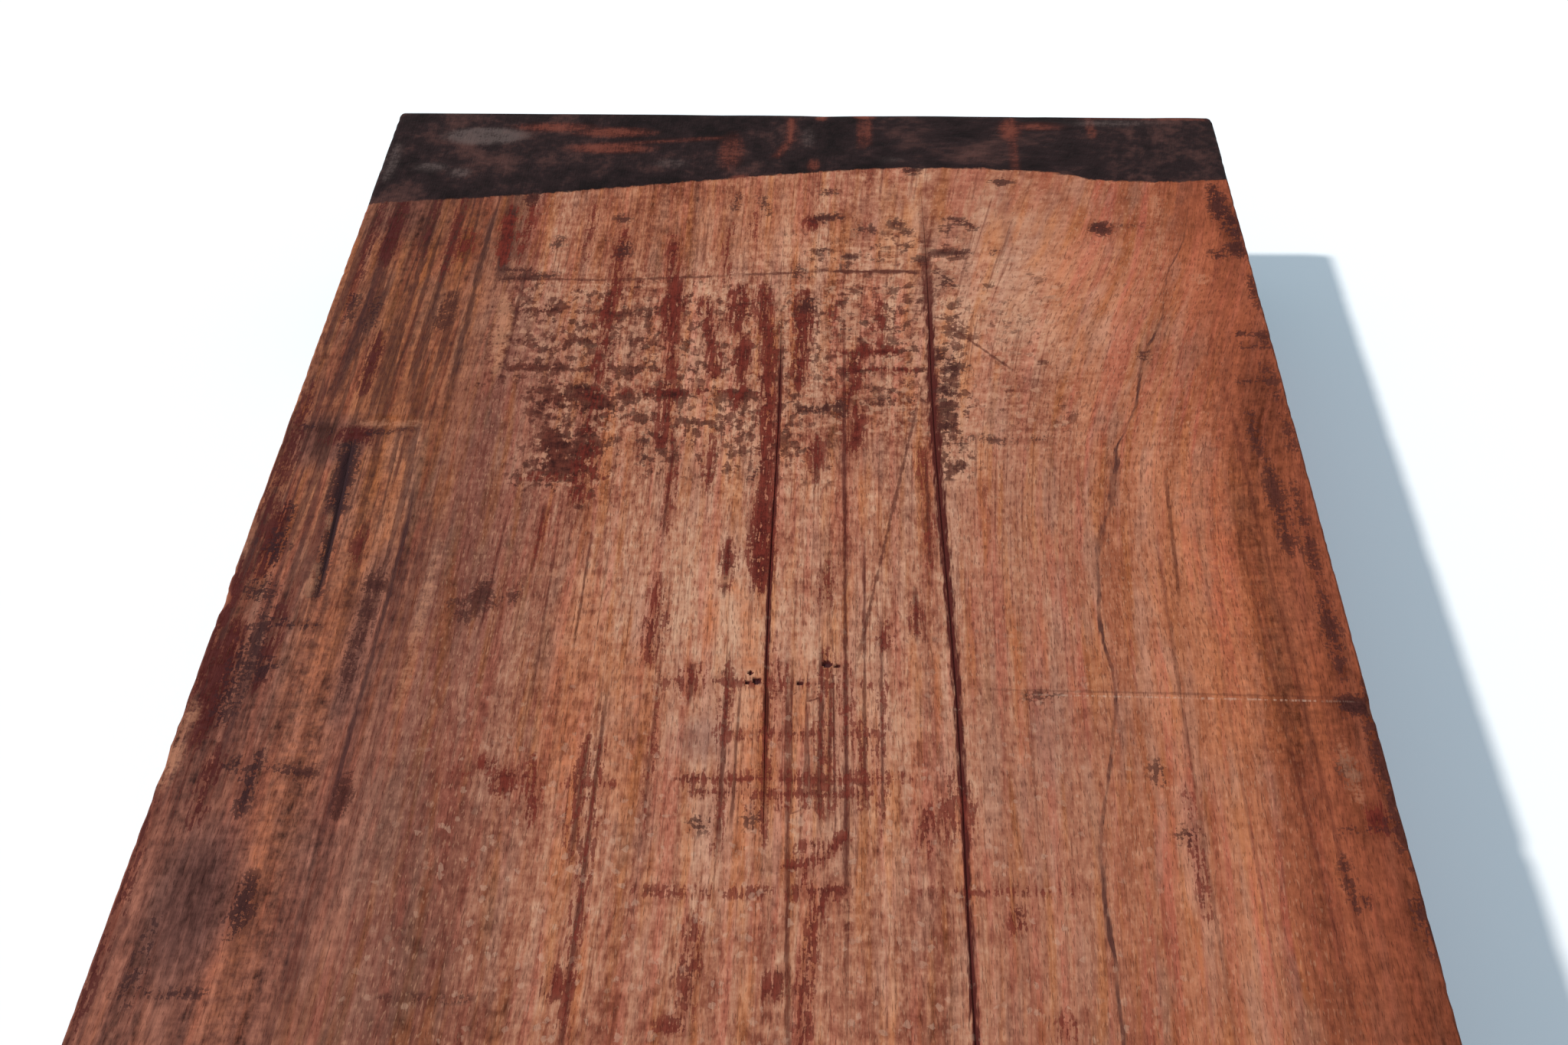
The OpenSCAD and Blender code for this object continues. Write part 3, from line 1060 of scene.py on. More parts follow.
class Value:
    """A number that varies over a surface: Python expressions on it add Math nodes."""

    def __init__(self, graph: "Graph", socket: bpy.types.NodeSocket) -> None:
        """Wraps a socket that gives a number."""
        self.graph = graph
        self.socket = socket

    def __add__(self, other: Number) -> "Value":
        """Adds a number."""
        return self.graph.math("ADD", self, other)

    __radd__ = __add__

    def __sub__(self, other: Number) -> "Value":
        """Takes a number away."""
        return self.graph.math("SUBTRACT", self, other)

    def __rsub__(self, other: Number) -> "Value":
        """Takes this away from a number."""
        return self.graph.math("SUBTRACT", other, self)

    def __mul__(self, other: Number) -> "Value":
        """Multiplies by a number."""
        return self.graph.math("MULTIPLY", self, other)

    __rmul__ = __mul__

    def __abs__(self) -> "Value":
        """Drops the sign."""
        return self.graph.math("ABSOLUTE", self)

    def most(self, other: Number) -> "Value":
        """Gives the larger of this and a number."""
        return self.graph.math("MAXIMUM", self, other)

    def root(self) -> "Value":
        """Gives the square root."""
        return self.graph.math("SQRT", self)

    def wave(self) -> "Value":
        """Gives the sine."""
        return self.graph.math("SINE", self)

    def swing(self, reach: Number) -> "Value":
        """Swings a noise, about 0.5 on average, round 0 and stretches it."""
        return (self - 0.5) * reach

    def share(self, start: float, end: float) -> "Value":
        """Gives how far this has come from start to end, held between 0 and 1."""
        return self.graph.span(self, start, end, "LINEAR", (0.0, 1.0))

    def rise(self, low: Number, high: Number) -> "Value":
        """Goes smoothly from 0 at low to 1 at high."""
        return self.graph.span(self, low, high, "SMOOTHSTEP", (0.0, 1.0))

    def fall(self, low: Number, high: Number) -> "Value":
        """Goes smoothly from 1 at low to 0 at high."""
        return self.graph.span(self, low, high, "SMOOTHSTEP", (1.0, 0.0))


class Graph:
    """A material's nodes."""

    def __init__(self, tree: bpy.types.NodeTree) -> None:
        """Empties a node tree to build in it."""
        self.tree = tree
        tree.nodes.clear()

    def node(
        self, kind: str, settings: dict[str, Any] | None = None, sockets: dict[str | int, Any] | None = None,
    ) -> bpy.types.Node:
        """Adds a node.

        Args:
            kind: The node's type.
            settings: What is set on the node before its sockets, such as an operation, stops or points.
            sockets: The values or links of its inputs, by name or number.

        Returns:
            The node.
        """
        made = self.tree.nodes.new(kind)
        for name, setting in (settings or {}).items():
            if name == "stops":
                self.set_stops(made.color_ramp, setting)
            elif name == "points":
                self.set_points(made.mapping, setting)
            else:
                setattr(made, name, setting)
        for name, value in (sockets or {}).items():
            if isinstance(value, Value):
                self.tree.links.new(value.socket, made.inputs[name])
            elif isinstance(value, bpy.types.NodeSocket):
                self.tree.links.new(value, made.inputs[name])
            else:
                made.inputs[name].default_value = value
        return made

    def set_stops(self, ramp: bpy.types.ColorRamp, stops: Ramp) -> None:
        """Gives a colour ramp its stops.

        Args:
            ramp: The ramp.
            stops: Places from 0 to 1 with their colours, in order.
        """
        while len(ramp.elements) < len(stops):
            ramp.elements.new(1.0)
        for element, (place, colour) in zip(ramp.elements, stops):
            element.position = place
            element.color = colour

    def set_points(self, mapping: bpy.types.CurveMapping, points: Sequence[tuple[float, float]]) -> None:
        """Gives a curve its points.

        Args:
            mapping: The curve.
            points: Places and heights from 0 to 1, in order.
        """
        curve = mapping.curves[0]
        curve.points[0].location = points[0]
        curve.points[1].location = points[-1]
        for place, height in points[1:-1]:
            curve.points.new(place, height)
        mapping.update()

    def math(self, operation: str, *numbers: Number) -> Value:
        """Adds a Math node.

        Args:
            operation: The node's operation.
            numbers: Its one or two inputs.

        Returns:
            The result.
        """
        made = self.node("ShaderNodeMath", {"operation": operation}, dict(enumerate(numbers)))
        return Value(self, made.outputs[0])

    def span(self, value: Value, low: Number, high: Number, curve: str, ends: Span) -> Value:
        """Maps a range of a number to another range, held at its ends.

        Args:
            value: The number.
            low: Where the range starts.
            high: Where it ends.
            curve: The node's way between the ends.
            ends: What the two ends become.

        Returns:
            The mapped number.
        """
        sockets = {"Value": value, "From Min": low, "From Max": high, "To Min": ends[0], "To Max": ends[1]}
        made = self.node("ShaderNodeMapRange", {"interpolation_type": curve, "clamp": True}, sockets)
        return Value(self, made.outputs[0])

    def mix(self, under: Any, over: Any, share: Number, blend: str = "MIX") -> bpy.types.NodeSocket:
        """Lays one colour over another.

        Args:
            under: The colour below.
            over: The colour on top.
            share: How much of the top colour shows, from 0 to 1.
            blend: The way the two are blended.

        Returns:
            The blended colour.
        """
        settings = {"data_type": "RGBA", "blend_type": blend}
        return self.node("ShaderNodeMix", settings, {0: share, 6: under, 7: over}).outputs[2]

    def ramp(self, value: Value, stops: Ramp) -> bpy.types.NodeSocket:
        """Turns a number into a colour.

        Args:
            value: The number.
            stops: Places from 0 to 1 with their colours.

        Returns:
            The colour.
        """
        return self.node("ShaderNodeValToRGB", {"stops": stops}, {"Fac": value}).outputs[0]

    def curve(
        self, value: Value, points: Sequence[tuple[float, float]], run: Span, height: Span,
    ) -> Value:
        """Reads a smooth curve through points.

        Args:
            value: Where the curve is read.
            points: Places and heights, in order.
            run: The places that the curve's two ends stand for.
            height: The heights that 0 and 1 on the curve stand for.

        Returns:
            The curve's height.
        """
        scaled = [
            ((place - run[0]) / (run[1] - run[0]), (level - height[0]) / (height[1] - height[0]))
            for place, level in points
        ]
        made = self.node("ShaderNodeFloatCurve", {"points": scaled}, {"Value": value.share(*run)})
        return Value(self, made.outputs[0]) * (height[1] - height[0]) + height[0]


@dataclass(frozen=True)
class Pattern:
    """A noise on the timber: the size of its swells across and along the grain, and its make."""

    across: float
    along: float
    seed: float = 0.0
    detail: float = 2.0
    rough: float = 0.5


SEED_STEPS = (1.0, 1.7, 2.3)
SWAY = Pattern(70, 150, detail=1)
FIBRE = Pattern(0.5, 12, detail=3, rough=0.6)
STRIPE = Pattern(2.4, 120, seed=2, detail=3)
FLECK = Pattern(0.9, 3.6, seed=21, detail=3, rough=0.6)
CRUMB = Pattern(1.7, 1.9, seed=1, detail=3, rough=0.65)
FINE = Pattern(0.6, 0.8, seed=7, rough=0.6)
DASH = Pattern(0.6, 6, seed=11, detail=3, rough=0.6)
ROW = Pattern(13, 1.9, seed=6, detail=3, rough=0.6)
BLOTCH = Pattern(6, 9, seed=23, detail=3)
CLOUD = Pattern(24, 34, seed=3, detail=3)
SCAB = Pattern(1.8, 3.2, seed=45, detail=3, rough=0.6)
DARK_PORES = Pattern(0.35, 2.2, seed=4, detail=1)
PALE_PORES = Pattern(0.4, 1.8, seed=37, detail=1)
END_PORES = Pattern(0.5, 0.5, seed=29)
BANDS = Pattern(8, 420, seed=5)
ROSY_STREAKS = Pattern(2.2, 64, seed=15, rough=0.6)
AMBER_STREAKS = Pattern(2.6, 48, seed=19, rough=0.6)
ASHEN_STREAKS = Pattern(3.6, 30, seed=17, rough=0.6)
RIBS = Pattern(1.5, 50, seed=33)
HAIRS = Pattern(0.5, 40, seed=8)
WOBBLE = Pattern(60, 9, seed=27)
PALE_DOTS = Pattern(1.5, 2.2, seed=31)
DARK_DOTS = Pattern(2.2, 3.0, seed=5)
DUST = Pattern(1.2, 1.6, seed=41)


@dataclass(frozen=True)
class Zones:
    """Where the wood changes: the start and end of each change, across or along the plank.

    The pith, outside the plank, is a place across it and up from its underside.
    """

    mapped: Span = (0, 300)
    across: Span = (-100, 100)
    left: Span = (-74, -58)
    left_lines: Span = (-64, -56)
    outer_left: Span = (-84, -70)
    near_left: Span = (150, 230)
    plum: Span = (-58, -32)
    plum_start: Span = (50, 120)
    right: Span = (46, 62)
    near: Span = (180, 290)
    growth: Span = (20, 340)
    pith: Span = (70, -110)


ZONES = Zones()


@dataclass(frozen=True)
class Palette:
    """The sheen and colours of the wood, its stains and its wax, some as ramps from dark to pale."""

    roughness: float = 0.72
    wax_smoother: float = 0.16
    shine: float = 0.02
    tan: Ramp = (
        (0.05, paint(88, 40, 31)), (0.35, paint(137, 79, 61)), (0.6, paint(173, 115, 90)),
        (0.95, paint(206, 160, 131)),
    )
    purple: Ramp = ((0.1, paint(74, 38, 34)), (0.5, paint(128, 79, 66)), (0.95, paint(172, 121, 100)))
    dark: Ramp = ((0.1, paint(58, 37, 36)), (0.5, paint(129, 79, 60)), (0.95, paint(176, 115, 84)))
    orange: Ramp = ((0.05, paint(86, 38, 27)), (0.5, paint(153, 88, 62)), (0.95, paint(200, 134, 102)))
    end: Ramp = ((0.1, paint(62, 34, 29)), (0.5, paint(116, 68, 52)), (0.9, paint(164, 108, 84)))
    crust: Ramp = ((0.35, paint(56, 28, 26)), (0.65, paint(100, 52, 42)))
    stain: Ramp = ((0.3, paint(50, 27, 26)), (0.7, paint(80, 45, 40)))
    wax: Ramp = ((0.2, paint(22, 15, 16)), (0.55, paint(40, 28, 29)), (0.95, paint(80, 54, 50)))
    dark_pore: Colour = paint(96, 48, 38)
    pale_pore: Colour = paint(212, 160, 128)
    worn: Colour = paint(140, 82, 60)
    # Painted shade: the colours that darken the insides of the checks, the split and the pinholes.
    check: Colour = paint(76, 34, 32)
    left_check_shade: Colour = paint(54, 37, 39)
    pit_shade: Colour = paint(64, 45, 49)
    rosy: Colour = paint(150, 76, 62)
    amber: Colour = paint(184, 108, 54)
    ashen: Colour = paint(170, 126, 106)
    near_left: Colour = paint(118, 76, 68)
    right_side: Colour = paint(150, 80, 56)
    rib: Colour = paint(68, 42, 41)
    hair: Colour = paint(96, 44, 36)
    pale_speck: Colour = paint(200, 150, 122)
    speck_film: Colour = paint(206, 170, 160)
    vein: Colour = paint(80, 35, 31)
    left_vein: Colour = paint(66, 42, 42)
    growth: Colour = paint(78, 46, 42)
    cut: Colour = paint(88, 46, 38)
    rust: Colour = paint(176, 100, 60)
    veil_tint: Colour = paint(102, 74, 70)
    veil_shade: Colour = paint(134, 120, 118)
    resin_film: Colour = paint(206, 162, 152)
    thick_resin: Colour = paint(70, 27, 25)
    thin_resin: Colour = paint(114, 47, 38)
    left_resin: Colour = paint(82, 40, 38)
    stain_film: Colour = paint(186, 170, 170)
    left_stain: Colour = paint(44, 32, 36)
    torn: Colour = paint(194, 136, 106)
    dust: Colour = paint(202, 162, 138)
    # Painted highlight along the scratch's lip.
    graze: Colour = paint(212, 178, 156)
    smear_film: Colour = paint(118, 58, 46)
    smear: Colour = paint(140, 76, 60)
    scuff_film: Colour = paint(86, 72, 70)
    scuff: Colour = paint(112, 98, 94)


class Grain:
    """Places, noises and zones on the timber, in millimetres, that the layers of its finish share."""

    def __init__(self, graph: Graph, length: float) -> None:
        """Reads the place on the plank and bends the grain round it.

        Args:
            graph: The material's nodes.
            length: The plank's length.
        """
        self.graph = graph
        place = graph.node("ShaderNodeTexCoord").outputs["Object"]
        scaled = graph.node("ShaderNodeVectorMath", {"operation": "SCALE"}, {0: place, "Scale": 1 / MM})
        self.point = scaled.outputs[0]
        split = graph.node("ShaderNodeSeparateXYZ", sockets={0: self.point})
        self.x, y, self.z = (Value(graph, socket) for socket in split.outputs)
        self.along = length / 2 - y
        self.growth_x = graph.curve(self.along, GROWTH_LINE, ZONES.mapped, (40, 100))
        lean = graph.curve(self.along, GRAIN_LEAN, ZONES.mapped, (-10, 40)) * self.x.rise(5, 80)
        flow = self.x + self.noise(SWAY).swing(6) - lean
        bent = graph.node("ShaderNodeCombineXYZ", sockets={0: flow, 1: y, 2: self.z})
        self.point = bent.outputs[0]
        self.fibre = self.noise(FIBRE)
        self.stripe = self.noise(STRIPE)
        self.fleck = self.noise(FLECK)
        self.crumb = self.noise(CRUMB)
        self.fine = self.noise(FINE)
        self.dash = self.noise(DASH)
        self.row = self.noise(ROW)
        self.blotch = self.noise(BLOTCH)
        self.cloud = self.noise(CLOUD)
        spread = self.crumb.swing(1.3) + self.fine.swing(1.3) + self.row.swing(0.8)
        self.ragged = spread + self.dash.swing(1.0) + self.blotch.swing(1.0)
        self.strands = spread * 0.8 + self.dash.swing(2.6) + self.blotch.swing(0.8)
        zone = self.x + self.cloud.swing(16)
        self.left = zone.fall(*ZONES.left)
        self.near_left = self.left * self.along.rise(*ZONES.near_left)
        self.plum = (zone + self.along.fall(*ZONES.plum_start) * 18).fall(*ZONES.plum)
        self.right = zone.rise(*ZONES.right)
        self.near = self.along.rise(*ZONES.near)

    def noise(self, pattern: Pattern) -> Value:
        """Makes noise that is stretched along the grain.

        Args:
            pattern: Its sizes and make.

        Returns:
            The noise, about 0.5 on average.
        """
        made = self.graph.node("ShaderNodeTexNoise", sockets={
            "Vector": self.placed(pattern), "Scale": 1.0, "Detail": pattern.detail,
            "Roughness": pattern.rough,
        })
        return Value(self.graph, made.outputs[0])

    def placed(self, pattern: Pattern) -> bpy.types.NodeSocket:
        """Scales and shifts the place on the plank for a pattern.

        Args:
            pattern: The pattern.

        Returns:
            The place.
        """
        scale = (1 / pattern.across, 1 / pattern.along, 1 / pattern.across)
        shift = tuple(step * pattern.seed for step in SEED_STEPS)
        sockets = {"Vector": self.point, "Location": shift, "Scale": scale}
        return self.graph.node("ShaderNodeMapping", sockets=sockets).outputs[0]

    def attribute(self, name: str) -> Value:
        """Reads a number that the mesh carries."""
        made = self.graph.node("ShaderNodeAttribute", {"attribute_name": name})
        return Value(self.graph, made.outputs["Fac"])

    def broken(self, density: Value, pattern: Value, soft: float) -> Value:
        """Breaks a film up, the more the thinner it lies.

        Args:
            density: The film's density, from 0 to 1.
            pattern: The noise by which it breaks.
            soft: Half the width, in shares of the density, over which its edges fade.

        Returns:
            How much of the film covers each place.
        """
        cover = (density + pattern).rise(0.5 - soft, 0.5 + soft)
        return cover * density.rise(0.02, 0.25)

    def dots(self, density: Value, pattern: Pattern) -> Value:
        """Scatters ragged dots, the more the denser.

        Args:
            density: The share of the places that have a dot.
            pattern: How far apart the places lie.

        Returns:
            1 on the dots and 0 off them.
        """
        graph = self.graph
        sockets = {"Vector": self.placed(pattern), "Scale": 1.0}
        cells = graph.node("ShaderNodeTexVoronoi", {"voronoi_dimensions": "2D"}, sockets)
        split = graph.node("ShaderNodeSeparateColor", sockets={0: cells.outputs["Color"]})
        chance, girth, _ = (Value(graph, socket) for socket in split.outputs)
        reach = Value(graph, cells.outputs["Distance"]) + self.fine.swing(1.3) + self.crumb.swing(0.5)
        dot = (reach - girth * 0.34).fall(0.06, 0.36)
        return dot * (density - chance).rise(0.0, 0.12)

    def line(self, x: Number, width: Number, start: float, end: float) -> Value:
        """Draws a thin line along the grain.

        Args:
            x: Where its middle lies across the plank.
            width: Its width.
            start: Where it starts.
            end: Where it ends.

        Returns:
            1 on the line and 0 off it.
        """
        aside = abs(self.x - x) + self.dash.swing(1.6 * width)
        fade = (end - start) * 0.2
        ends = self.along.rise(start, start + fade) * self.along.fall(end - fade, end)
        return aside.fall(0.25 * width, 0.7 * width) * ends

    def traced(self, name: str, spread: Value) -> Value:
        """Draws the thin lines that the mesh carries, with sides that a noise makes uneven."""
        aside = abs(self.attribute(f"{name}_aside")) + spread.swing(1.6)
        return aside.fall(0.2, 0.75) * self.attribute(name)

    def gather(self, masks: Sequence[Value]) -> Value:
        """Joins masks into one, keeping the strongest at each place.

        Args:
            masks: The masks.

        Returns:
            The joined mask.
        """
        joined = masks[0]
        for mask in masks[1:]:
            joined = joined.most(mask)
        return joined


class Timber:
    """The plank's finish: brown-red hardwood with weathered, sawn and stained parts and a waxed end."""

    def __init__(self, plank: PlankBody, hues: Palette) -> None:
        """Starts the material.

        Args:
            plank: The plank that wears it.
            hues: Its colours.
        """
        self.plank = plank
        self.hues = hues
        self.material = bpy.data.materials.new("weathered_hardwood")
        self.material.use_nodes = True
        self.graph = Graph(self.material.node_tree)
        self.grain = Grain(self.graph, plank.length)

    def build(self) -> bpy.types.Material:
        """Builds the finish.

        Returns:
            The material.
        """
        grain = self.grain
        graph = self.graph
        hues = self.hues
        sunk = grain.attribute("sunk")
        pore = grain.noise(DARK_PORES).rise(0.58, 0.68)
        pored = pore * (0.45 - grain.near * 0.2 - grain.along.fall(30, 90) * 0.25)
        pale = grain.noise(PALE_PORES).rise(0.6, 0.7) * grain.x.rise(-72, -56) * grain.x.fall(78, 92)
        plain = graph.mix(self.heartwood(), hues.dark_pore, pored)
        plain = graph.mix(plain, hues.pale_pore, pale * 0.25)
        worked = self.scars(self.films(self.thin_lines(self.specks(plain))))
        colour = graph.mix(plain, worked, grain.attribute("top"))
        colour = graph.mix(colour, self.end_grain(), grain.attribute("end"))
        colour = graph.mix(colour, hues.worn, grain.attribute("worn").rise(0.6, 1.0) * grain.dash)
        # Painted shade: the insides of the checks, the split and the pinholes darken with their depth.
        root = graph.mix(hues.check, hues.left_check_shade, grain.x.fall(*ZONES.left_lines))
        colour = graph.mix(colour, root, sunk.rise(0.02, 0.3))
        colour = graph.mix(colour, hues.pit_shade, sunk.rise(0.4, 0.8))
        wax = self.wax_mask()
        colour = graph.mix(colour, self.wax_colour(), wax)
        height = grain.fibre.swing(0.14) + grain.crumb.swing(0.12) + grain.row.swing(0.05) - pore * 0.05
        bump = graph.node("ShaderNodeBump", sockets={"Strength": 1.0, "Distance": MM, "Height": height})
        shader = graph.node("ShaderNodeBsdfPrincipled", sockets={
            "Base Color": colour, "Roughness": hues.roughness - hues.wax_smoother * wax,
            "Normal": bump.outputs[0], "Specular IOR Level": hues.shine,
        })
        graph.node("ShaderNodeOutputMaterial", sockets={"Surface": shader.outputs[0]})
        return self.material

    def tone(self) -> Value:
        """Makes the light and dark of the bare wood, from long stripes down to torn fibres.

        Returns:
            The tone, from 0 for dark to 1 for pale.
        """
        grain = self.grain
        patch = grain.attribute("patch")
        edge = grain.x.rise(72, 98) * (0.14 + grain.along.rise(80, 130) * 0.1 + grain.near * 0.1)
        busy = 1 - grain.x.rise(24, 40) * 0.32 - grain.plum * 0.22 + grain.left * 0.22
        stripes = grain.stripe.swing(0.5 + grain.left * 0.55) + grain.fibre.swing(0.6 - grain.near * 0.2)
        bands = grain.noise(BANDS).swing(0.55 + grain.right * 0.4)
        short = grain.fleck.swing(0.9) + grain.crumb.swing(0.6) + grain.row.swing(0.28 + patch * 0.35)
        broad = grain.cloud.swing(0.4) + grain.blotch.swing(0.4)
        torn = patch * (grain.crumb.swing(0.6) + grain.fine.swing(0.6) + 0.07)
        # Paler patches lift the tone: part bleached wood, part painted sheen.
        lift = grain.attribute("bleach") * 0.2 - grain.attribute("shade") * 0.25
        lift = lift - grain.along.rise(250, 310) * 0.1
        return 0.57 + (stripes + bands + short + broad + torn) * busy + lift - edge

    def heartwood(self) -> bpy.types.NodeSocket:
        """Colours the bare wood: dark stripes at the left, tan in the middle and orange at the right.

        Returns:
            The colour.
        """
        grain = self.grain
        graph = self.graph
        hues = self.hues
        tone = self.tone()
        colour = graph.ramp(tone, hues.tan)
        for ramp, share in ((hues.purple, grain.plum), (hues.dark, grain.left), (hues.orange, grain.right)):
            colour = graph.mix(colour, graph.ramp(tone, ramp), share)
        rosy = grain.noise(ROSY_STREAKS).rise(0.46, 0.66)
        amber = grain.noise(AMBER_STREAKS).rise(0.48, 0.68)
        ashen = grain.noise(ASHEN_STREAKS).rise(0.48, 0.68)
        # The rosy tint thins on the paler patches, which are part bleached wood and part painted sheen.
        tints = (
            (hues.rosy, rosy * (0.45 + grain.right * 0.25 - grain.attribute("bleach") * 0.3)),
            (hues.amber, amber * (0.45 - grain.right * 0.1 - grain.near_left * 0.2)),
            (hues.ashen, ashen * 0.45),
            (hues.near_left, grain.near_left * (0.5 - rosy * 0.2)),
            (hues.right_side, grain.x.rise(72, 94) * 0.8),
        )
        for tint, share in tints:
            colour = graph.mix(colour, tint, share, "COLOR")
        ribs = grain.noise(RIBS).rise(0.535, 0.575) * grain.left * (1 - grain.near_left * 0.6)
        colour = graph.mix(colour, hues.rib, ribs * 0.6)
        hairs = grain.noise(HAIRS).rise(0.59, 0.66) * (0.45 - grain.right * 0.2) * (1 - grain.near * 0.4)
        return graph.mix(colour, hues.hair, hairs)

    def end_grain(self) -> bpy.types.NodeSocket:
        """Colours the sawn end: arcs of growth rings round a pith below the plank, with pores between them.

        Returns:
            The colour.
        """
        grain = self.grain
        aside = grain.x - ZONES.pith[0]
        below = grain.z - ZONES.pith[1]
        radius = (aside * aside + below * below).root() + grain.blotch.swing(5)
        ring = (radius * 1.1).wave() * 0.08 + (radius * 0.37 + 1).wave() * 0.1
        pores = grain.noise(END_PORES).swing(0.7)
        tone = 0.45 + ring + pores + grain.crumb.swing(0.6) + grain.cloud.swing(0.5)
        return self.graph.ramp(tone, self.hues.end)

    def specks(self, under: bpy.types.NodeSocket) -> bpy.types.NodeSocket:
        """Lays the dark and pale specks of the patch that the planer skipped.

        Args:
            under: The colour below.

        Returns:
            The colour with the specks.
        """
        grain = self.grain
        graph = self.graph
        hues = self.hues
        light = grain.dots(grain.attribute("patch").rise(0.6, 0.9) * 0.5, PALE_DOTS)
        colour = graph.mix(under, hues.pale_speck, light * 0.5)
        uneven = grain.row.swing(1.2) + grain.blotch.swing(2.4) + grain.dash.swing(1.2)
        thick = grain.attribute("speck") * (0.9 + uneven)
        colour = graph.mix(colour, hues.speck_film, thick.rise(0.0, 1.2) * 0.3, "MULTIPLY")
        crust = grain.noise(SCAB).swing(2.8) + grain.fine.swing(0.9)
        dark = grain.broken(thick, crust, soft=0.1).most(grain.dots(thick * 0.8, DARK_DOTS))
        return graph.mix(colour, graph.ramp(grain.crumb, hues.crust), dark * (0.62 + thick * 0.4))

    def thin_lines(self, under: bpy.types.NodeSocket) -> bpy.types.NodeSocket:
        """Lays the growth line, the fine dark veins and the scratches.

        Args:
            under: The colour below.

        Returns:
            The colour with the lines.
        """
        grain = self.grain
        graph = self.graph
        hues = self.hues
        lips = [grain.traced("vein", grain.dash), grain.traced("thread", grain.dash)]
        tapering = 2.0 - grain.along.rise(150, 260) * 0.8
        for check, width in ((MAIN_CHECK, tapering), (FINE_CHECK, 0.9)):
            run = grain.along - check.start
            wander = (run * (2 * math.pi / check.pitch)).wave() * check.wander
            middle = check.x + run * (check.drift / check.length) + wander
            lips.append(grain.line(middle, width, check.start, check.start + check.length) * 1.1)
        tint = graph.mix(hues.vein, hues.left_vein, grain.x.fall(*ZONES.left_lines))
        colour = graph.mix(under, tint, grain.gather(lips) * 0.9)
        width = graph.curve(grain.along, GROWTH_WIDTH, ZONES.mapped, (0, 3)) * 0.8
        growth = grain.line(grain.growth_x + grain.noise(WOBBLE).swing(1.4), width, *ZONES.growth)
        colour = graph.mix(colour, hues.growth, growth * (0.35 + grain.blotch.rise(0.42, 0.62) * 0.55))
        return graph.mix(colour, hues.cut, grain.traced("cut", grain.crumb) * 0.9)

    def films(self, under: bpy.types.NodeSocket) -> bpy.types.NodeSocket:
        """Lays the rust, the brown veils, the red resin and the dark stains.

        Args:
            under: The colour below.

        Returns:
            The stained colour.
        """
        grain = self.grain
        graph = self.graph
        hues = self.hues
        outer = grain.x.fall(*ZONES.outer_left)
        rust = grain.attribute("rust") * (0.7 + grain.crumb.swing(1.5))
        colour = graph.mix(under, hues.rust, rust, "COLOR")
        veil = grain.attribute("veil") * (grain.dash + 0.3)
        colour = graph.mix(colour, hues.veil_tint, veil * 0.7, "COLOR")
        colour = graph.mix(colour, hues.veil_shade, veil, "MULTIPLY")
        resin = grain.attribute("resin")
        colour = graph.mix(colour, hues.resin_film, resin.rise(0.05, 0.9) * 0.45, "MULTIPLY")
        red = graph.mix(hues.thin_resin, hues.left_resin, outer)
        red = graph.mix(hues.thick_resin, red, (grain.dash + grain.crumb).rise(0.76, 1.24))
        cover = grain.broken(resin, grain.strands * 1.4, soft=0.14)
        colour = graph.mix(colour, red, cover * (0.66 + resin * 0.33))
        stain = grain.attribute("stain")
        colour = graph.mix(colour, hues.stain_film, stain.rise(0.05, 0.9) * 0.4, "MULTIPLY")
        black = graph.mix(graph.ramp(grain.fine, hues.stain), hues.left_stain, outer * 0.7)
        cover = grain.broken(stain, grain.ragged * 1.8, soft=0.13)
        return graph.mix(colour, black, cover * (0.55 + stain * 0.4))

    def scars(self, under: bpy.types.NodeSocket) -> bpy.types.NodeSocket:
        """Lays the pale torn fibres, the dust and the painted highlight along the scratch.

        Args:
            under: The colour below.

        Returns:
            The colour with the scars.
        """
        grain = self.grain
        graph = self.graph
        hues = self.hues
        scar = grain.attribute("scar")
        colour = graph.mix(under, hues.torn, grain.broken(scar, grain.ragged, soft=0.3) * scar * 0.8)
        bare = 1 - grain.attribute("resin").most(grain.attribute("stain")).rise(0.2, 0.7)
        dust = grain.dots(abs(grain.x).fall(30, 90) * bare * 0.16, DUST)
        colour = graph.mix(colour, hues.dust, dust * grain.along.rise(150, 260) * 0.35)
        # Painted highlight: a pale broken line along the scratch's lip.
        white = grain.traced("graze", grain.crumb) * grain.dash.rise(0.44, 0.6)
        return graph.mix(colour, hues.graze, white)

    def wax_mask(self) -> Value:
        """Draws the wax coat, 1 on the wax and 0 off it."""
        reach = self.graph.curve(self.grain.x, self.plank.wax.edge, ZONES.across, (0, 60))
        return (reach - self.grain.along + self.grain.crumb.swing(2.4)).rise(-0.4, 0.4)

    def wax_colour(self) -> bpy.types.NodeSocket:
        """Colours the wax, with its red smears and grey scuffs.

        Returns:
            The colour.
        """
        grain = self.grain
        graph = self.graph
        hues = self.hues
        sides = abs(grain.x).rise(30, 80) * 0.16
        tone = 0.44 + sides + grain.cloud.swing(1.0) + grain.crumb.swing(0.8) + grain.blotch.swing(1.2)
        colour = graph.ramp(tone, hues.wax)
        layers = (("smear", hues.smear_film, hues.smear, 0.6), ("scuff", hues.scuff_film, hues.scuff, 0.5))
        for name, film, tint, share in layers:
            density = grain.attribute(name)
            colour = graph.mix(colour, film, density.rise(0.0, 1.2) * 0.5)
            cover = grain.broken(density, grain.ragged, soft=0.3)
            colour = graph.mix(colour, tint, cover * density * share)
        return colour


